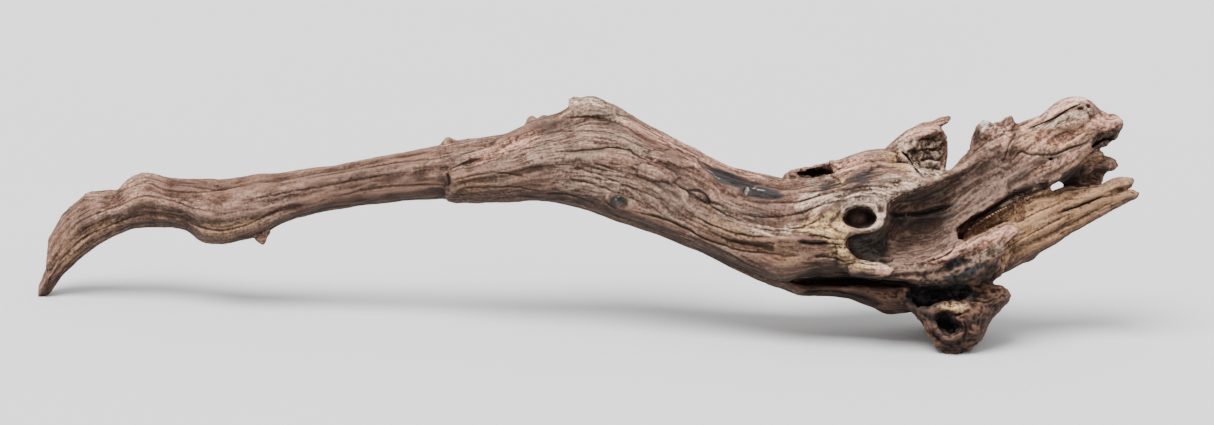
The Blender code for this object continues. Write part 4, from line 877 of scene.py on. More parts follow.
# Sharp-edged hollows: name, nearest and farthest depth, outline
NOTCHES = [
    ("tongue_end", 76, 16, [(785.5, 95), (779, 93), (773, 89), (771, 83), (769, 77), (767.5, 69),
        (767, 61.5), (795, 61.5), (795, 94.5)]),
    ("plank_face", 76, 12, [(738.5, 90.5), (741, 96.5), (749.5, 103), (757.5, 108), (770.5, 115),
        (779, 119), (790.5, 125), (790.5, 105.5), (784, 104), (778.5, 106), (773, 105),
        (765.5, 101.5), (757.5, 97), (747, 93), (741.5, 89.5)]),
    ("mouth_rim", 76, 43.2, [(710.5, 135.5), (697.5, 131.5), (687, 126), (681, 123), (679, 118.5),
        (679, 113.5), (680, 108), (681, 104), (687, 105.5), (687, 117), (694.5, 123), (710.5, 130.5)]),
    ("pocket", 76, 37.6, [(681, 104), (677, 100), (669.5, 98.5), (662.5, 97), (653.5, 96.5),
        (648, 94.5), (646, 91), (647.5, 88), (647, 85), (649.5, 80), (656, 75), (665.5, 73.5),
        (677, 71.5), (684, 73.5), (684, 91), (687, 101)]),
    ("knot_rim", 76, 46.4, [(643.5, 107), (645.5, 112), (650.5, 116), (656, 117.5), (662.5, 116.5),
        (667, 113.5), (670, 109.5), (670, 106), (668, 102.5), (663, 100), (657.5, 100), (651, 101.5),
        (646.5, 104)]),
    ("slot_rim", 76, 24, [(598.5, 58), (605.5, 61), (621.5, 62.5), (648, 62), (649.5, 59.5),
        (670.5, 59), (675, 60.5), (693.5, 59), (705.5, 56), (737.5, 54), (737.5, 52), (693.5, 53),
        (649.5, 54.5), (609.5, 55)]),
    ("char_rim", 76, 21.6, [(696, 53.5), (713.5, 53), (737.5, 53), (744, 50.5), (741.5, 45),
        (733.5, 43), (725.5, 44), (719, 40), (714.5, 36.5), (704, 36), (698.5, 40)]),
    ("foot_rim", 76, 26.4, [(719, 28), (722.5, 30.5), (727, 30), (729.5, 30.5), (733, 27.5),
        (735.5, 26.5), (736.5, 23), (739, 20.5), (736, 18.5), (735, 15.5), (731, 15.5), (728, 14.5),
        (726, 18), (722, 19), (722.5, 22.5), (719, 24)]),
    ("foot_crack", 76, 24, [(728, 32), (733, 33.5), (737.5, 32.5), (740, 30.5), (734.5, 29.5),
        (729.5, 30.5)]),
    ("window_rim", 72, -72, [(810, 135.5), (817.5, 139), (822, 136), (819, 133), (811, 129.5),
        (809.5, 133)]),
    ("sheet_edge", 56, 8.8, [(735, 91), (735.5, 101), (742.5, 107), (756, 113.5), (769.5, 121),
        (785.5, 130), (801.5, 137.5), (809, 138), (806.5, 131), (801.5, 130.5), (785.5, 123),
        (769.5, 115), (757.5, 108.5), (744, 99.5), (738.5, 91)]),
    ("arm_under", 56, 4.8, [(841, 165.5), (846.5, 170), (856, 173.5), (864, 179), (863.5, 176.5),
        (860.5, 174), (860.5, 171), (853, 169), (846.5, 166.5), (843.5, 163.5)]),
    ("flake_dark", 64, 4.8, [(606.5, 143), (614.5, 146), (625.5, 150), (636, 152.5), (634.5, 149),
        (631, 145), (629, 142), (619, 140.5), (611, 140.5)]),
    ("arm_eye", 56, 14.4, [(806.5, 155.5), (808, 157), (811, 157.5), (813.5, 156.5), (811, 154.5),
        (808, 154.5)]),
    ("top_pit", 72, 32, [(658.5, 153), (664, 153.5), (669, 151.5), (672, 149), (667, 147.5),
        (661, 149.5)]),
]

# Knots that the grain flows round: x, h, radius
KNOTS = [(657, 109, 17), (464, 122.5, 7), (530.5, 126, 6), (380, 170.5, 4), (566.5, 131, 4), (810, 156, 5)]

# Zones with a grain of their own inside the open root: limb, outline in the front view
GRAIN_ZONES = [
    ("upper_arm", [(645, 92), (668, 99), (679, 112), (680, 122), (692, 129), (712, 137), (734, 140),
        (752, 158), (790, 178), (790, 122), (760, 116), (735, 100), (722, 78), (690, 70), (650, 78)]),
]

# Rotted and rough zones in the front view
ERODED_ZONES = [
    [(700, 72), (735, 86), (760, 92), (778, 84), (770, 60), (740, 40), (700, 50)],
    [(694, 160), (700, 170), (716, 174), (726, 172), (727, 150), (722, 140), (710, 140), (700, 152)],
    [(682, 56), (700, 52), (772, 56), (778, 44), (762, 30), (745, -4), (718, -4), (696, 30)],
    [(748, 178), (756, 190), (782, 192), (782, 180), (764, 172), (744, 158), (738, 152), (746, 164)],
    [(836, 192), (850, 198), (872, 192), (872, 178), (860, 164), (842, 164), (846, 180)],
    [(592, 138), (598, 150), (640, 156), (648, 150), (640, 138)],
]


def smooth_column(xs, ys, at):
    """Values of a smooth curve that passes through the stations and doesn't overshoot them."""
    secant = np.diff(ys) / np.diff(xs)
    slope = np.zeros(len(xs))
    left, right = secant[:-1], secant[1:]
    same_way = left * right > 0
    slope[1:-1][same_way] = 2 * left[same_way] * right[same_way] / (left + right)[same_way]
    slope[0], slope[-1] = secant[0], secant[-1]
    i = np.clip(np.searchsorted(xs, at, side="right") - 1, 0, len(xs) - 2)
    step = xs[i + 1] - xs[i]
    t = (at - xs[i]) / step
    start = ys[i] * (1 + 2 * t) * (1 - t) ** 2 + slope[i] * step * t * (1 - t) ** 2
    return start + ys[i + 1] * t * t * (3 - 2 * t) + slope[i + 1] * step * t * t * (t - 1)


def blend_step(low, high, value):
    """0 below low, 1 above high, smooth between. It also runs down where low is the larger."""
    t = np.clip((value - low) / (high - low), 0, 1)
    return t * t * (3 - 2 * t)


# Brings the noise to between about -1 and 1
NOISE_GAIN = 1.6


def noise(points, seed):
    """Smooth noise between about -1 and 1 at rows of three coordinates, one bump per unit."""
    table = np.random.default_rng(seed).permutation(256)
    turns = np.random.default_rng(seed + 1000).normal(size=(256, 3))
    turns /= np.linalg.norm(turns, axis=1)[:, None]
    cell = np.floor(points).astype(np.int64)
    part = points - cell
    fade = part ** 3 * (part * (part * 6 - 15) + 10)
    total = np.zeros(len(points))
    for dx in (0, 1):
        for dy in (0, 1):
            for dz in (0, 1):
                key = table[(cell[:, 0] + dx) & 255]
                key = table[(key + cell[:, 1] + dy) & 255]
                key = table[(key + cell[:, 2] + dz) & 255]
                lean = turns[key] * (part - (dx, dy, dz))
                share = np.ones(len(points))
                for axis, d in enumerate((dx, dy, dz)):
                    share *= fade[:, axis] if d else 1 - fade[:, axis]
                total += share * lean.sum(1)
    return total * NOISE_GAIN


def layer(at, spacing, height, seed):
    """Noise with a bump about every spacing, up to the given height."""
    return height * noise(at / spacing, seed)


def flutes(theta, x, phase):
    """Long low ridges that wind slowly round a limb, as a share of its radius."""
    relief = np.zeros(np.broadcast(theta, x).shape)
    for waves, share, twist in FLUTES:
        relief += share * np.cos(waves * theta + phase * waves + twist * x)
    return relief


def new_object(name, points, faces):
    """An object from points in metres and lists of their numbers."""
    data = bpy.data.meshes.new(name)
    data.from_pydata(points, [], faces)
    obj = bpy.data.objects.new(name, data)
    bpy.context.scene.collection.objects.link(obj)
    return obj


def loft(name, stations, squareness=1.0, phase=None):
    """A closed tube through upright sections. A phase gives it flutes."""
    table = np.array(stations, float)
    xs = table[:, 0]
    count = max(3, int(math.ceil((xs[-1] - xs[0]) / RING_STEP)) + 1)
    at = np.linspace(xs[0], xs[-1], count)
    low, high, depth, half = (smooth_column(xs, table[:, c], at)[:, None] for c in range(1, 5))
    theta = np.linspace(0, 2 * math.pi, SIDES, endpoint=False)[None, :]
    across, upright = np.cos(theta), np.sin(theta)
    across = np.sign(across) * np.abs(across) ** squareness
    upright = np.sign(upright) * np.abs(upright) ** squareness
    radius = 1 + (flutes(theta, at[:, None], phase) if phase is not None else np.zeros((count, SIDES)))
    out = radius * across * half + depth
    up = radius * upright
    least, most = up.min(1, keepdims=True), up.max(1, keepdims=True)
    up = low + (high - low) * (up - least) / (most - least)
    points = np.stack([np.broadcast_to(at[:, None], out.shape), -out, up], axis=2).reshape(-1, 3) * MM
    ring = np.arange(SIDES)
    after = (ring + 1) % SIDES
    faces = []
    for k in range(count - 1):
        a, b = k * SIDES, (k + 1) * SIDES
        faces += np.stack([a + ring, b + ring, b + after, a + after], axis=1).tolist()
    faces.append(list(range(SIDES)))
    faces.append([(count - 1) * SIDES + k for k in range(SIDES)][::-1])
    return new_object(name, points.tolist(), faces)


def prism(name, near_depth, far_depth, outline):
    """A straight block with the given outline in the front view."""
    sides = len(outline)
    points = [(x * MM, -depth * MM, h * MM) for depth in (near_depth, far_depth) for x, h in outline]
    ring = list(range(sides))
    faces = [ring, [k + sides for k in ring][::-1]]
    faces += [[(k + 1) % sides, k, k + sides, (k + 1) % sides + sides] for k in ring]
    block = new_object(name, points, faces)
    mesh = bmesh.new()
    mesh.from_mesh(block.data)
    bmesh.ops.recalc_face_normals(mesh, faces=mesh.faces)
    mesh.to_mesh(block.data)
    mesh.free()
    return block


def applied(obj):
    """Replaces an object's mesh by what its modifiers make of it."""
    graph = bpy.context.evaluated_depsgraph_get()
    old = obj.data
    data = bpy.data.meshes.new_from_object(obj.evaluated_get(graph))
    obj.modifiers.clear()
    obj.data = data
    bpy.data.meshes.remove(old)
    return obj


def joined(objects, name):
    """One object that holds the meshes of several."""
    mesh = bmesh.new()
    for obj in objects:
        mesh.from_mesh(obj.data)
        bpy.data.objects.remove(obj)
    data = bpy.data.meshes.new(name)
    mesh.to_mesh(data)
    mesh.free()
    obj = bpy.data.objects.new(name, data)
    bpy.context.scene.collection.objects.link(obj)
    return obj


def fused(obj, passes):
    """Joins overlapping shells to one skin and rounds its creases."""
    remesh = obj.modifiers.new("fuse", "REMESH")
    remesh.mode = "VOXEL"
    remesh.voxel_size = VOXEL * MM
    worn = obj.modifiers.new("wear", "SMOOTH")
    worn.factor = PASS_SHARE
    worn.iterations = passes
    return applied(obj)


def cut(obj, cutters):
    """Takes the cutters out of the object."""
    for cutter in cutters:
        hole = obj.modifiers.new(cutter.name, "BOOLEAN")
        hole.operation = "DIFFERENCE"
        hole.solver = "MANIFOLD"
        hole.object = cutter
    applied(obj)
    for cutter in cutters:
        bpy.data.objects.remove(cutter)
    return obj


def taken_out(obj, cutters, later):
    """Takes out the cutters that stand clear of each other in one pass, and the later ones in another."""
    first = joined([cutter for name, cutter in cutters.items() if name not in later], "first_cutters")
    second = joined([cutter for name, cutter in cutters.items() if name in later], "second_cutters")
    return cut(obj, [first, second])


def skin(obj):
    """Points of the skin in millimetres of the front view, and their normals."""
    count = len(obj.data.vertices)
    points = np.empty(count * 3)
    normals = np.empty(count * 3)
    obj.data.vertices.foreach_get("co", points)
    obj.data.vertex_normals.foreach_get("vector", normals)
    return points.reshape(-1, 3) / MM, normals.reshape(-1, 3)


def move_skin(obj, points):
    obj.data.vertices.foreach_set("co", (points * MM).ravel())
    obj.data.update()


def path_distance(flat, line):
    """Each front point's distance from a line, how far along it (0 to 1), and on which side."""
    path = np.array(line, float)
    lengths = np.linalg.norm(np.diff(path, axis=0), axis=1)
    nearest = np.full(len(flat), 1e9)
    along = np.zeros(len(flat))
    side = np.ones(len(flat))
    done = 0.0
    for a, b, length in zip(path, path[1:], lengths):
        run = b - a
        gap = flat - a
        t = np.clip((gap @ run) / (run @ run), 0, 1)
        off = np.hypot(*(gap - t[:, None] * run).T)
        closer = off < nearest
        nearest[closer] = off[closer]
        along[closer] = (done + t[closer] * length) / lengths.sum()
        side[closer] = np.where(run[0] * gap[closer, 1] > run[1] * gap[closer, 0], 1, -1)
        done += length
    return nearest, along, side


def inside_outline(flat, outline):
    """Signed distance from a closed outline in the front view, positive inside."""
    ring = outline + [outline[0]]
    off, _, _ = path_distance(flat, ring)
    within = np.zeros(len(flat), bool)
    for (ax, ay), (bx, by) in zip(ring, ring[1:]):
        crosses = (ay > flat[:, 1]) != (by > flat[:, 1])
        span = (by - ay) or 1e-9
        within ^= crosses & (flat[:, 0] < (bx - ax) * (flat[:, 1] - ay) / span + ax)
    return np.where(within, off, -off)


def curved(line):
    """A smooth line through the given points."""
    path = np.array(line, float)
    run = np.concatenate([[0], np.cumsum(np.linalg.norm(np.diff(path, axis=0), axis=1))])
    if len(path) < 3:
        return path
    at = np.linspace(0, run[-1], max(len(path), int(run[-1] / CURVE_STEP) + 1))
    return np.stack([smooth_column(run, path[:, 0], at), smooth_column(run, path[:, 1], at)], axis=1)


def faded_ends(along, fade, past=0):
    """1 along a line, and down to 0 over a share of its length at each end."""
    return blend_step(-past, fade, along) * blend_step(1 + past, 1 - fade, along)


def near(flat, line, reach):
    """Picks the points of the front view in the box round a line, as numbers."""
    path = np.array(line, float)
    low, high = path.min(0) - reach, path.max(0) + reach
    return np.flatnonzero(((flat > low) & (flat < high)).all(1))


class Grain:
    """Where each point lies along and across its limb, so that fibres follow the limb's own edges."""

    def __init__(self):
        self.names = list(LIMBS)
        self.tables = [np.array(rows, float) for _, rows in LIMBS.values()]
        self.squareness = [s for s, _ in LIMBS.values()]

    def place(self, which, points):
        """Distance along a limb with two coordinates across it, and how far off its skin."""
        table = self.tables[which]
        xs = table[:, 0]
        x = np.clip(points[:, 0], xs[0], xs[-1])
        low, high, depth, half = (smooth_column(xs, table[:, c], x) for c in range(1, 5))
        middle = (table[:, 1] + table[:, 2]) / 2
        steps = np.hypot(np.hypot(np.diff(xs), np.diff(middle)), np.diff(table[:, 3]))
        run = np.interp(points[:, 0], xs, np.concatenate([[0], np.cumsum(steps)]))
        tall = np.maximum((high - low) / 2, 1)
        size = ((table[:, 2] - table[:, 1]).max() / 2 + table[:, 4].max()) / 2
        b = (points[:, 2] - (high + low) / 2) / tall
        a = (-points[:, 1] - depth) / np.maximum(half, 1)
        power = 2 / self.squareness[which]
        rho = (np.abs(a) ** power + np.abs(b) ** power) ** (1 / power)
        past = np.maximum(np.maximum(xs[0] - points[:, 0], points[:, 0] - xs[-1]), 0)
        off = np.abs(rho - 1) * np.minimum(tall, half) + past
        spread = size * np.sqrt(tall / tall.max())
        return np.stack([run, a * spread, b * spread], axis=1), off

    def choose(self, points, facing):
        """The number of the limb whose skin each point is nearest to."""
        best = np.full(len(points), 1e9)
        limb = np.zeros(len(points), int)
        for k in range(len(self.names)):
            _, off = self.place(k, points)
            closer = off < best
            best[closer] = off[closer]
            limb[closer] = k
        flat = points[:, (0, 2)]
        for name, outline in GRAIN_ZONES:
            inner = (inside_outline(flat, outline) > 0) & (facing > ZONE_FACING) & (best > ZONE_DEPTH)
            limb[inner] = self.names.index(name)
        return limb

    def vectors(self, points, limb):
        """Grain coordinates of points on the given limbs."""
        made = np.zeros((len(points), 3))
        for k in range(len(self.names)):
            mine = np.flatnonzero(limb == k)
            if len(mine):
                made[mine], _ = self.place(k, round_knots(points[mine]))
                made[mine, 0] += GRAIN_SHIFT * k
        return made


def round_knots(points):
    """Parts the grain in front of each knot, so that it flows round it."""
    moved = points.copy()
    for x, h, r in KNOTS:
        dx, dh = points[:, 0] - x, points[:, 2] - h
        keep = 1 - r * r / np.maximum((KNOT_STRETCH * dx) ** 2 + dh ** 2, r * r * KNOT_CLOSEST)
        front = blend_step(*KNOT_FRONT, -points[:, 1] / KNOT_DEPTH)
        moved[:, 2] += front * (h + dh * keep - points[:, 2])
    return moved


def knobs(points):
    """The knobbly surface of the root, and faintly of the rest."""
    along = np.clip((points[:, 0] - ROOT_START) / ROOT_RUN, 0, 1)
    down = np.clip((ROOT_TOP - points[:, 2]) / ROOT_FADE, 0, 1)
    return layer(points, *KNOBS) * (TRUNK_KNOBS + (ROOT_KNOBS - TRUNK_KNOBS) * along * down)


def ridge_lift(points, front):
    """Named ridges and troughs."""
    flat = points[:, (0, 2)]
    lift = np.zeros(len(points))
    for _, width, height, line in RIDGES:
        mine = near(flat, line, width * RIDGE_REACH)
        off, along, _ = path_distance(flat[mine], curved(line))
        shape = np.clip(1 - (off / (width * RIDGE_FOOT)) ** 2, 0, 1) ** 2
        lift[mine] += height * shape * faded_ends(along, RIDGE_FADE) * front[mine]
    return lift


def crack_field(points, front):
    """The furrow of the named cracks, the signed distance from the nearest, and how dark that one is
    painted, as shade that deepens with the crack's depth.
    """
    flat = points[:, (0, 2)]
    furrow = np.zeros(len(points))
    nearest = np.full(len(points), CRACK_REACH)
    share = np.zeros(len(points))
    wander = layer(points, *CRACK_WANDER)
    for _, width, depth, line in CRACKS:
        mine = near(flat, line, CRACK_REACH)
        off, along, side = path_distance(flat[mine] + wander[mine, None], curved(line))
        ends = faded_ends(along, CRACK_FADE, CRACK_PAST)
        shape = np.clip(1 - off / (width * FURROW_WIDTH), 0, 1)
        furrow[mine] -= CRACK_DEPTH * depth * shape * ends * front[mine]
        closer = off < np.abs(nearest[mine])
        chosen = mine[closer]
        nearest[chosen] = (off * side)[closer] / (LINE_WIDTH * width)
        fade = blend_step(CRACK_REACH, CRACK_REACH * 0.6, off)
        # Painted shade: a deeper crack is painted darker
        darkness = min(1.0, (depth / DARK_DEPTH) ** 1.5)
        share[chosen] = (ends * fade)[closer] * front[chosen] * darkness
    return furrow, nearest, share


def plates_and_pits(points, front, recess_shade):
    """Raised bark plates with sharp edges, and pits. Their rims and the pits are added to the painted shade
    mask that is passed in, from 0 to 1: a dark line at the foot of each raised plate, and dark pits.
    """
    flat = points[:, (0, 2)]
    lift = np.zeros(len(points))
    ragged = layer(points, *PLATE_TEAR) + layer(points, *FINE_PLATE_TEAR)
    for _, height, edge, outline in PLATES:
        mine = near(flat, outline, PLATE_REACH)
        inner = inside_outline(flat[mine], outline) + ragged[mine]
        lift[mine] += height * blend_step(-edge, edge, inner) * front[mine]
        rim = np.exp(-((inner + edge) / RIM_LINE) ** 2)
        # Painted shade: a dark line at the foot of a raised plate
        recess_shade[mine] = np.maximum(recess_shade[mine], RIM_SHADE * rim * front[mine] * (height > 0))
    for _, wide, tall, depth, middle in PITS:
        mine = near(flat, [middle], max(wide, tall) * PIT_REACH)
        off = np.hypot(*((flat[mine] - middle) / (wide, tall)).T) + PIT_TEAR * ragged[mine]
        shape = blend_step(*PIT_SIDE, off) * front[mine]
        lift[mine] -= depth * shape
        # Painted shade in a pit
        if depth > 0:
            recess_shade[mine] = np.maximum(recess_shade[mine], shape)
    return lift


def random_checks(points, grain, limb):
    """Short drying checks along the grain, all over."""
    draw = np.random.default_rng(SEED)
    lift = np.zeros(len(points))
    around = np.arctan2(grain[:, 2], grain[:, 1])
    radius = np.hypot(grain[:, 1], grain[:, 2])
    wander = noise(points / CHECK_WANDER_SPACING, CHECK_WANDER_SEED)
    for start in draw.integers(0, len(points), CHECKS):
        length, width, depth = (draw.uniform(*span) for span in (CHECK_LENGTH, CHECK_WIDTH, CHECK_DEPTH))
        run = grain[:, 0] - grain[start, 0]
        mine = np.flatnonzero((np.abs(run) < length) & (limb == limb[start]))
        turn = np.abs((around[mine] - around[start] + math.pi) % (2 * math.pi) - math.pi)
        off = np.abs(turn * radius[mine] + CHECK_WANDER * (wander[mine] - wander[start]))
        close = off < CHECK_REACH
        mine, off = mine[close], off[close]
        ends = 1 - (np.abs(run[mine]) / length) ** 2
        lift[mine] -= depth * np.clip(1 - off / (width * (0.5 + 0.5 * ends)), 0, 1) * ends
    return lift


def stain_and_shade_masks(points, normals, grain, front):
    """How much of each stain is on each point, and the painted shade, which follows how far a point faces
    up.
    """
    flat = points[:, (0, 2)]
    ragged = layer(points, *STAIN_TEAR) + layer(grain, *FIBRE_TEAR) + layer(grain, *FINE_FIBRE_TEAR)
    masks = {name: np.zeros(len(points)) for name in STAIN_AND_SHADE_NAMES}
    for name, width, strength, line in STREAKS:
        mine = near(flat, line, width * 2 + STAIN_MARGIN)
        off, along, _ = path_distance(flat[mine], curved(line))
        full = STREAK_NECK + (1 - STREAK_NECK) * faded_ends(along, STREAK_FADE)
        inner = width * full - off + ragged[mine] * min(1.0, width / STREAK_TORN)
        outer, core = STREAK_EDGE
        shape = blend_step(outer * width, core * width, inner) * strength * front[mine]
        masks[name][mine] = np.maximum(masks[name][mine], shape)
    for name, softness, strength, outline in AREAS:
        mine = near(flat, outline, softness + STAIN_MARGIN)
        inner = inside_outline(flat[mine], outline) + ragged[mine] * min(1.0, softness / AREA_TORN)
        shape = blend_step(-softness, softness, inner) * strength * front[mine]
        masks[name][mine] = np.maximum(masks[name][mine], shape)
    for k, (name, spacing, share, strength) in enumerate(HIDDEN_STAINS):
        patch = noise(points / spacing, PATCH_SEED + k) + layer(grain, *PATCH_TEAR, PATCH_TEAR_SEED + k)
        shape = blend_step(share, share + PATCH_EDGE, patch) * strength
        masks[name] = np.maximum(masks[name], shape * (FRONT_SHARE + (1 - FRONT_SHARE) * (1 - front)))
    # Painted shade: darker where the skin faces down, lighter where it faces up
    masks["shade"] = blend_step(*SHADE_RANGE, normals @ np.array(TURN)[2])
    return masks


def neighbour_mean(values, edges, count):
    """Mean of the values of each point's neighbours."""
    total = np.zeros_like(values)
    np.add.at(total, edges[:, 0], values[edges[:, 1]])
    np.add.at(total, edges[:, 1], values[edges[:, 0]])
    return total / count[:, None]


def standing_out(obj, passes):
    """How far each point stands out of the skin smoothed over its neighbours, in millimetres."""
    points, normals = skin(obj)
    edges = np.empty(len(obj.data.edges) * 2, int)
    obj.data.edges.foreach_get("vertices", edges)
    edges = edges.reshape(-1, 2)
    count = np.maximum(np.bincount(edges.ravel(), minlength=len(points)), 1)
    smooth = points
    for _ in range(passes):
        mean = neighbour_mean(smooth, edges, count)
        smooth = (1 - MEAN_SHARE) * smooth + MEAN_SHARE * mean
    return ((points - smooth) * normals).sum(1)


def crest_of(obj):
    """Positive on ridges and edges, negative in furrows, about -1 to 1."""
    return np.clip(sum(standing_out(obj, passes) * weight for passes, weight in CREST_LAYERS), -1, 1)


def shaped_wood():
    """The whole skin before any grain is worked into it."""
    limbs = [
        loft(name, rows, squareness, phase=FLUTE_TURN * i)
        for i, (name, (squareness, rows)) in enumerate(LIMBS.items())
    ]
    wood = fused(joined(limbs, "driftwood_surface"), LIMB_PASSES)
    wood = taken_out(wood, {name: loft(name, rows) for name, rows in HOLLOWS.items()}, SECOND_CUTS)
    cores = [loft(name, rows) for name, rows in CORES.items()]
    wood = fused(joined([wood] + cores, "driftwood_surface"), CORE_PASSES)
    blocks = {name: prism(name, *rest) for name, *rest in NOTCHES}
    return fused(taken_out(wood, blocks, SECOND_NOTCHES), NOTCH_PASSES)


def facing_front(normals):
    """1 on the side the photograph shows, 0 behind."""
    return blend_step(*FRONT_RANGE, -normals[:, 1])


def sway(points):
    """How far the grain wavers across itself."""
    return np.stack([layer(points, SWAY_SPACING, SWAY, seed) for seed in SWAY_SEEDS], axis=1)


def grain_of(points, normals):
    """Grain coordinates with a slow waver, and the limb of each point."""
    guide = Grain()
    limb = guide.choose(points, -normals[:, 1])
    grain = guide.vectors(points, limb)
    grain[:, 1:] += sway(points)
    return grain, limb


def worked(wood):
    """Works ridges, cracks, plates, pits and fibres into the skin."""
    points, normals = skin(wood)
    front = facing_front(normals)
    grain, limb = grain_of(points, normals)
    lift = knobs(points)
    lift += ridge_lift(points, front)
    lift += crack_field(points, front)[0]
    lift += plates_and_pits(points, front, np.zeros(len(points)))
    lift += random_checks(points, grain, limb)
    for spacing, height, level, seed in (WAVES, THREADS):
        lift += height * (level - np.abs(noise(grain / spacing, seed)))
    lift += layer(grain, *FIBRES)
    proud = np.clip(standing_out(wood, RIM_SPAN) - RIM_START, 0, 1)
    lift -= RIM_WEAR * proud * (0.5 + layer(points, *BITES))
    rough = layer(points, *COARSE_ROT) + layer(points, *FINE_ROT)
    lift += eroded(points, front) * rough
    move_skin(wood, points + normals * lift[:, None])


def eroded(points, front):
    """1 where the wood is rotted and rough."""
    flat = points[:, (0, 2)]
    rot = np.zeros(len(points))
    for outline in ERODED_ZONES:
        rot = np.maximum(rot, blend_step(*ROT_EDGE, inside_outline(flat, outline)))
    return rot * (BACK_ROT + (1 - BACK_ROT) * front)


def thinned(obj):
    """Fewer triangles where the skin is flat."""
    obj.data.calc_loop_triangles()
    fewer = obj.modifiers.new("thin", "DECIMATE")
    fewer.ratio = TRIANGLES / len(obj.data.loop_triangles)
    applied(obj)


def store(data, name, values, domain="POINT"):
    """Writes vectors to the mesh for the material to read."""
    layer = data.attributes.new(name, "FLOAT_VECTOR", domain)
    layer.data.foreach_set("vector", values.astype(np.float32).ravel())


def face_grain(data, points, limb):
    """Grain coordinates for each corner. A face takes one limb, so that no face spans two of them."""
    corners = np.empty(len(data.loops), int)
    data.loops.foreach_get("vertex_index", corners)
    starts = np.empty(len(data.polygons), int)
    data.polygons.foreach_get("loop_start", starts)
    sizes = np.diff(np.append(starts, len(corners)))
    face_limb = np.repeat(limb[corners[starts]], sizes)
    grain = Grain().vectors(points[corners], face_limb)
    grain[:, 1:] += sway(points)[corners]
    return grain


def dressed(obj):
    """Stores the grain, the cracks, the stains and the painted shade on the mesh."""
    data = obj.data
    points, normals = skin(obj)
    front = facing_front(normals)
    grain, limb = grain_of(points, normals)
    recess_shade = np.zeros(len(points))
    plates_and_pits(points, front, recess_shade)
    _, nearest, share = crack_field(points, front)
    # The crest is stored less the painted shade of pits and plate feet
    store(data, "marks", np.stack([crest_of(obj) - 2 * recess_shade, nearest, share], axis=1))
    masks = stain_and_shade_masks(points, normals, grain, front)
    # The last stored vector holds the painted shade beside the char and chip stains
    for k, names in enumerate(STAIN_AND_SHADE_SETS):
        store(data, f"stains_{k}", np.stack([masks[name] for name in names], axis=1))
    store(data, "grain", face_grain(data, points, limb), "CORNER")


def stood(obj):
    """Turns the front view upright, where the solid stands, and keeps it on the floor and near its box."""
    turn = Matrix.Translation(VIEW_ORIGIN) @ TURN.to_4x4()
    obj.data.transform(turn)
    points = np.empty(len(obj.data.vertices) * 3)
    obj.data.vertices.foreach_get("co", points)
    points = points.reshape(-1, 3)
    points[:, 2] = np.maximum(points[:, 2], 0.0)
    low, high = (np.array(corner) for corner in CAD_BOX)
    points = np.clip(points, low - (BOX_MARGIN, BOX_MARGIN, 0), high + BOX_MARGIN)
    obj.data.vertices.foreach_set("co", points.ravel())
    obj.data.update()
    obj.data.shade_smooth()


class Nodes:
    """Short calls for wiring a material."""

    def __init__(self, name):
        self.material = bpy.data.materials.new(name)
        self.material.use_nodes = True
        self.tree = self.material.node_tree
        self.shader = self.tree.nodes["Principled BSDF"]

    def add(self, kind, values=(), **settings):
        node = self.tree.nodes.new(kind)
        for key, value in settings.items():
            setattr(node, key, value)
        for key, value in dict(values).items():
            if isinstance(value, bpy.types.NodeSocket):
                self.tree.links.new(value, node.inputs[key])
            else:
                node.inputs[key].default_value = value
        return node

    def math(self, operation, a, b=0.0, c=0.0):
        return self.add("ShaderNodeMath", {0: a, 1: b, 2: c}, operation=operation).outputs[0]

    def attribute(self, name):
        return self.add("ShaderNodeAttribute", attribute_name=name).outputs["Vector"]

    def parts(self, name):
        return self.add("ShaderNodeSeparateXYZ", {0: self.attribute(name)}).outputs

    def noise(self, vector, scale, detail=3.0, roughness=0.55):
        made = self.add("ShaderNodeTexNoise", {"Vector": vector, "Scale": scale, "Detail": detail,
                                               "Roughness": roughness})
        return made.outputs["Fac"]

    def stretched(self, vector, scale):
        made = self.add("ShaderNodeVectorMath", {0: vector, 1: scale}, operation="MULTIPLY")
        return made.outputs[0]

    def ramp(self, value, low, high):
        made = self.add("ShaderNodeMapRange", {"Value": value, "From Min": low, "From Max": high})
        return made.outputs[0]

    def mix(self, share, a, b):
        made = self.add("ShaderNodeMix", {0: share, 6: a, 7: b}, data_type="RGBA")
        return made.outputs[2]

    def gradient(self, value, stops):
        made = self.add("ShaderNodeValToRGB", {"Fac": value})
        band = made.color_ramp.elements
        for _ in range(len(stops) - len(band)):
            band.new(0.5)
        for element, (position, tint) in zip(band, stops):
            element.position = position
            element.color = tint
        return made.outputs["Color"]


def colour(red, green, blue):
    """A colour given in the photograph's 0 to 255 values."""
    parts = [((c / 255 + 0.055) / 1.055) ** 2.4 if c > 10 else c / 3295 for c in (red, green, blue)]
    return (*parts, 1.0)


def bare_wood(n, grained, streak, patch):
    """The wood's colour, lighter and darker with its fibres, lighter on ridges and darker in hollows as
    painted shade, warmer and cooler in patches.
    """
    tone = n.math("MULTIPLY_ADD", patch, PATCH_SHARE, grained)
    tone = n.math("MULTIPLY_ADD", streak, STREAK_SHARE, tone)
    tone = n.math("SUBTRACT", tone, DARKEST)
    body = n.gradient(tone, [(stop, colour(*tint)) for stop, tint in BARK])
    warm = n.math("MULTIPLY", n.ramp(patch, *WARM_RANGE), WARM_SHARE)
    body = n.mix(warm, body, colour(*WARM_SHIFT))
    cool = n.math("MULTIPLY", n.ramp(patch, *COOL_RANGE), COOL_SHARE)
    return n.mix(cool, body, colour(*COOL_SHIFT))


def stained(n, body, masks, torn, light_share):
    """Lays the stains over the wood in their order, with torn edges, and with them the painted shade and
    highlight that are listed among the stains.
    """
    for name, mask in zip(STAIN_AND_SHADE_NAMES, masks):
        if name in STAIN_COLOURS:
            light, deep = (colour(*tint) for tint in STAIN_COLOURS[name])
            edge = n.math("MULTIPLY_ADD", torn, n.ramp(mask, *STAIN_START), mask)
            body = n.mix(n.ramp(edge, *STAIN_RANGE), body, n.mix(light_share, deep, light))
    return body


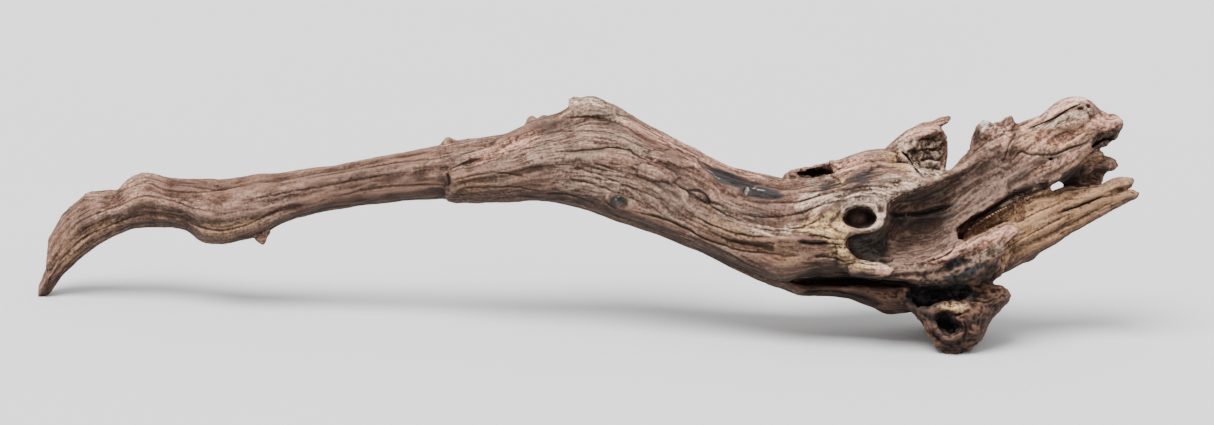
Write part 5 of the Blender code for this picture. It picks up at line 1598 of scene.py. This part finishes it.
def wood_material():
    """Dry weathered wood: fibres that run with the grain, stains whose edges follow it, and painted shade in
    its cracks, hollows and pits and where it faces down.
    """
    n = Nodes("weathered_wood")
    grain = n.attribute("grain")
    place = n.add("ShaderNodeTexCoord").outputs["Object"]
    fibre, streak, hair = (
        n.noise(n.stretched(grain, scale), 1.0, detail, roughness)
        for scale, detail, roughness in (FIBRE_NOISE, STREAK_NOISE, HAIR_NOISE)
    )
    patch = n.noise(place, *PATCH_NOISE)
    grit = n.noise(place, *GRIT_NOISE)
    crest, crack_distance, crack_share = n.parts("marks")
    masks = [mask for k in range(len(STAIN_AND_SHADE_SETS)) for mask in n.parts(f"stains_{k}")]

    grained = n.math("MULTIPLY_ADD", grit, GRIT_SHARE, n.math("MULTIPLY", fibre, FIBRE_SHARE))
    # The crest makes the tone lighter on ridges and darker in hollows, the darkening being painted shade
    grained = n.math("MULTIPLY_ADD", crest, CREST_SHARE, grained)
    body = bare_wood(n, grained, streak, patch)
    torn = n.math("MULTIPLY_ADD", fibre, TORN_FIBRE, -TORN_FIBRE / 2)
    torn = n.math("MULTIPLY_ADD", n.math("SUBTRACT", grit, 0.5), TORN_GRIT, torn)
    body = stained(n, body, masks, torn, n.ramp(grained, *LIGHT_RANGE))

    hairline = n.math("ABSOLUTE", n.math("SUBTRACT", hair, 0.5))
    hairline = n.math("MULTIPLY", n.ramp(hairline, *HAIR_RANGE), n.ramp(streak, *HAIR_STREAKS))
    # Painted shade along the named cracks, darker the deeper the crack
    line = n.ramp(n.math("ABSOLUTE", crack_distance), *LINE_RANGE)
    line = n.math("MULTIPLY", line, crack_share)
    dark = n.math("MAXIMUM", line, n.math("MULTIPLY", hairline, HAIR_SHARE))
    # Painted shade in furrows and pits and at the foot of raised plates, where the crest is low
    dark = n.math("MAXIMUM", dark, n.math("MULTIPLY", n.ramp(crest, *FURROW_RANGE), FURROW_SHARE))
    body = n.mix(dark, body, colour(*CREVICE))
    # Painted shade: the colour is scaled darker where the wood faces down and lighter where it faces up
    facing_up = masks[STAIN_AND_SHADE_NAMES.index("shade")]
    shade = n.math("MULTIPLY_ADD", facing_up, SHADE_UP - SHADE_DOWN, SHADE_DOWN)
    body = n.add("ShaderNodeVectorMath", {0: body, 3: shade}, operation="SCALE").outputs[0]
    n.tree.links.new(body, n.shader.inputs["Base Color"])

    rough = n.math("MULTIPLY_ADD", fibre, FIBRE_ROUGHNESS, ROUGHNESS)
    n.tree.links.new(rough, n.shader.inputs["Roughness"])
    n.shader.inputs["Specular IOR Level"].default_value = SPECULAR
    height = n.math("MULTIPLY_ADD", grit, BUMP_GRIT, fibre)
    height = n.math("SUBTRACT", height, n.math("MULTIPLY", dark, BUMP_DARK))
    bump = n.add("ShaderNodeBump", {"Height": height, "Strength": BUMP_STRENGTH, "Distance": BUMP_DISTANCE})
    n.tree.links.new(bump.outputs["Normal"], n.shader.inputs["Normal"])
    return n.material


def floor_material():
    """Plain pale studio floor with a faint mottle."""
    n = Nodes("pale_floor")
    place = n.add("ShaderNodeTexCoord").outputs["Object"]
    mottle = n.noise(place, *FLOOR_MOTTLE)
    darker, lighter = FLOOR_GREYS
    shade = n.mix(mottle, (darker, darker, darker, 1), (lighter, lighter, lighter, 1))
    n.tree.links.new(shade, n.shader.inputs["Base Color"])
    n.shader.inputs["Roughness"].default_value = FLOOR_ROUGHNESS
    return n.material


def studio():
    """Floor, soft sky and soft light from above and in front."""
    half = FLOOR_HALF
    corners = [(-half, -half, 0), (half, -half, 0), (half, half, 0), (-half, half, 0)]
    floor = new_object("floor", corners, [(0, 1, 2, 3)])
    floor.data.materials.append(floor_material())
    world = bpy.data.worlds.new("studio")
    world.use_nodes = True
    world.node_tree.nodes["Background"].inputs["Color"].default_value = (1, 1, 1, 1)
    world.node_tree.nodes["Background"].inputs["Strength"].default_value = SKY_STRENGTH
    bpy.context.scene.world = world
    for name, place, softness, strength in LIGHTS:
        light = bpy.data.lights.new(name, "SUN")
        light.angle = math.radians(softness)
        light.energy = strength
        lamp = bpy.data.objects.new(name, light)
        lamp.location = place
        lamp.rotation_euler = (-Vector(place)).to_track_quat("-Z", "Y").to_euler()
        bpy.context.scene.collection.objects.link(lamp)


def camera():
    """Looks at the piece from in front and above, so that a pixel is PIXEL millimetres at its middle."""
    wide, tall = IMAGE_SIZE
    middle = Vector(((wide / 2 - IMAGE_LEFT) * PIXEL, -TARGET_DEPTH, (IMAGE_BASE - tall / 2) * PIXEL))
    back = Vector((0, -1, 0))
    place = TURN @ ((middle + back * CAMERA_DISTANCE) * MM) + VIEW_ORIGIN
    data = bpy.data.cameras.new("camera")
    data.sensor_width = SENSOR
    data.lens = SENSOR * CAMERA_DISTANCE / (wide * PIXEL)
    data.clip_end = CLIP_END
    lens = bpy.data.objects.new("camera", data)
    lying = TURN @ Matrix.Rotation(math.pi / 2, 3, "X")
    lens.matrix_world = Matrix.Translation(place) @ lying.to_4x4()
    bpy.context.scene.collection.objects.link(lens)
    bpy.context.scene.camera = lens


wood = shaped_wood()
worked(wood)
thinned(wood)
dressed(wood)
stood(wood)
wood.data.materials.clear()
wood.data.materials.append(wood_material())
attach(wood, "root")
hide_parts("driftwood")
studio()
camera()
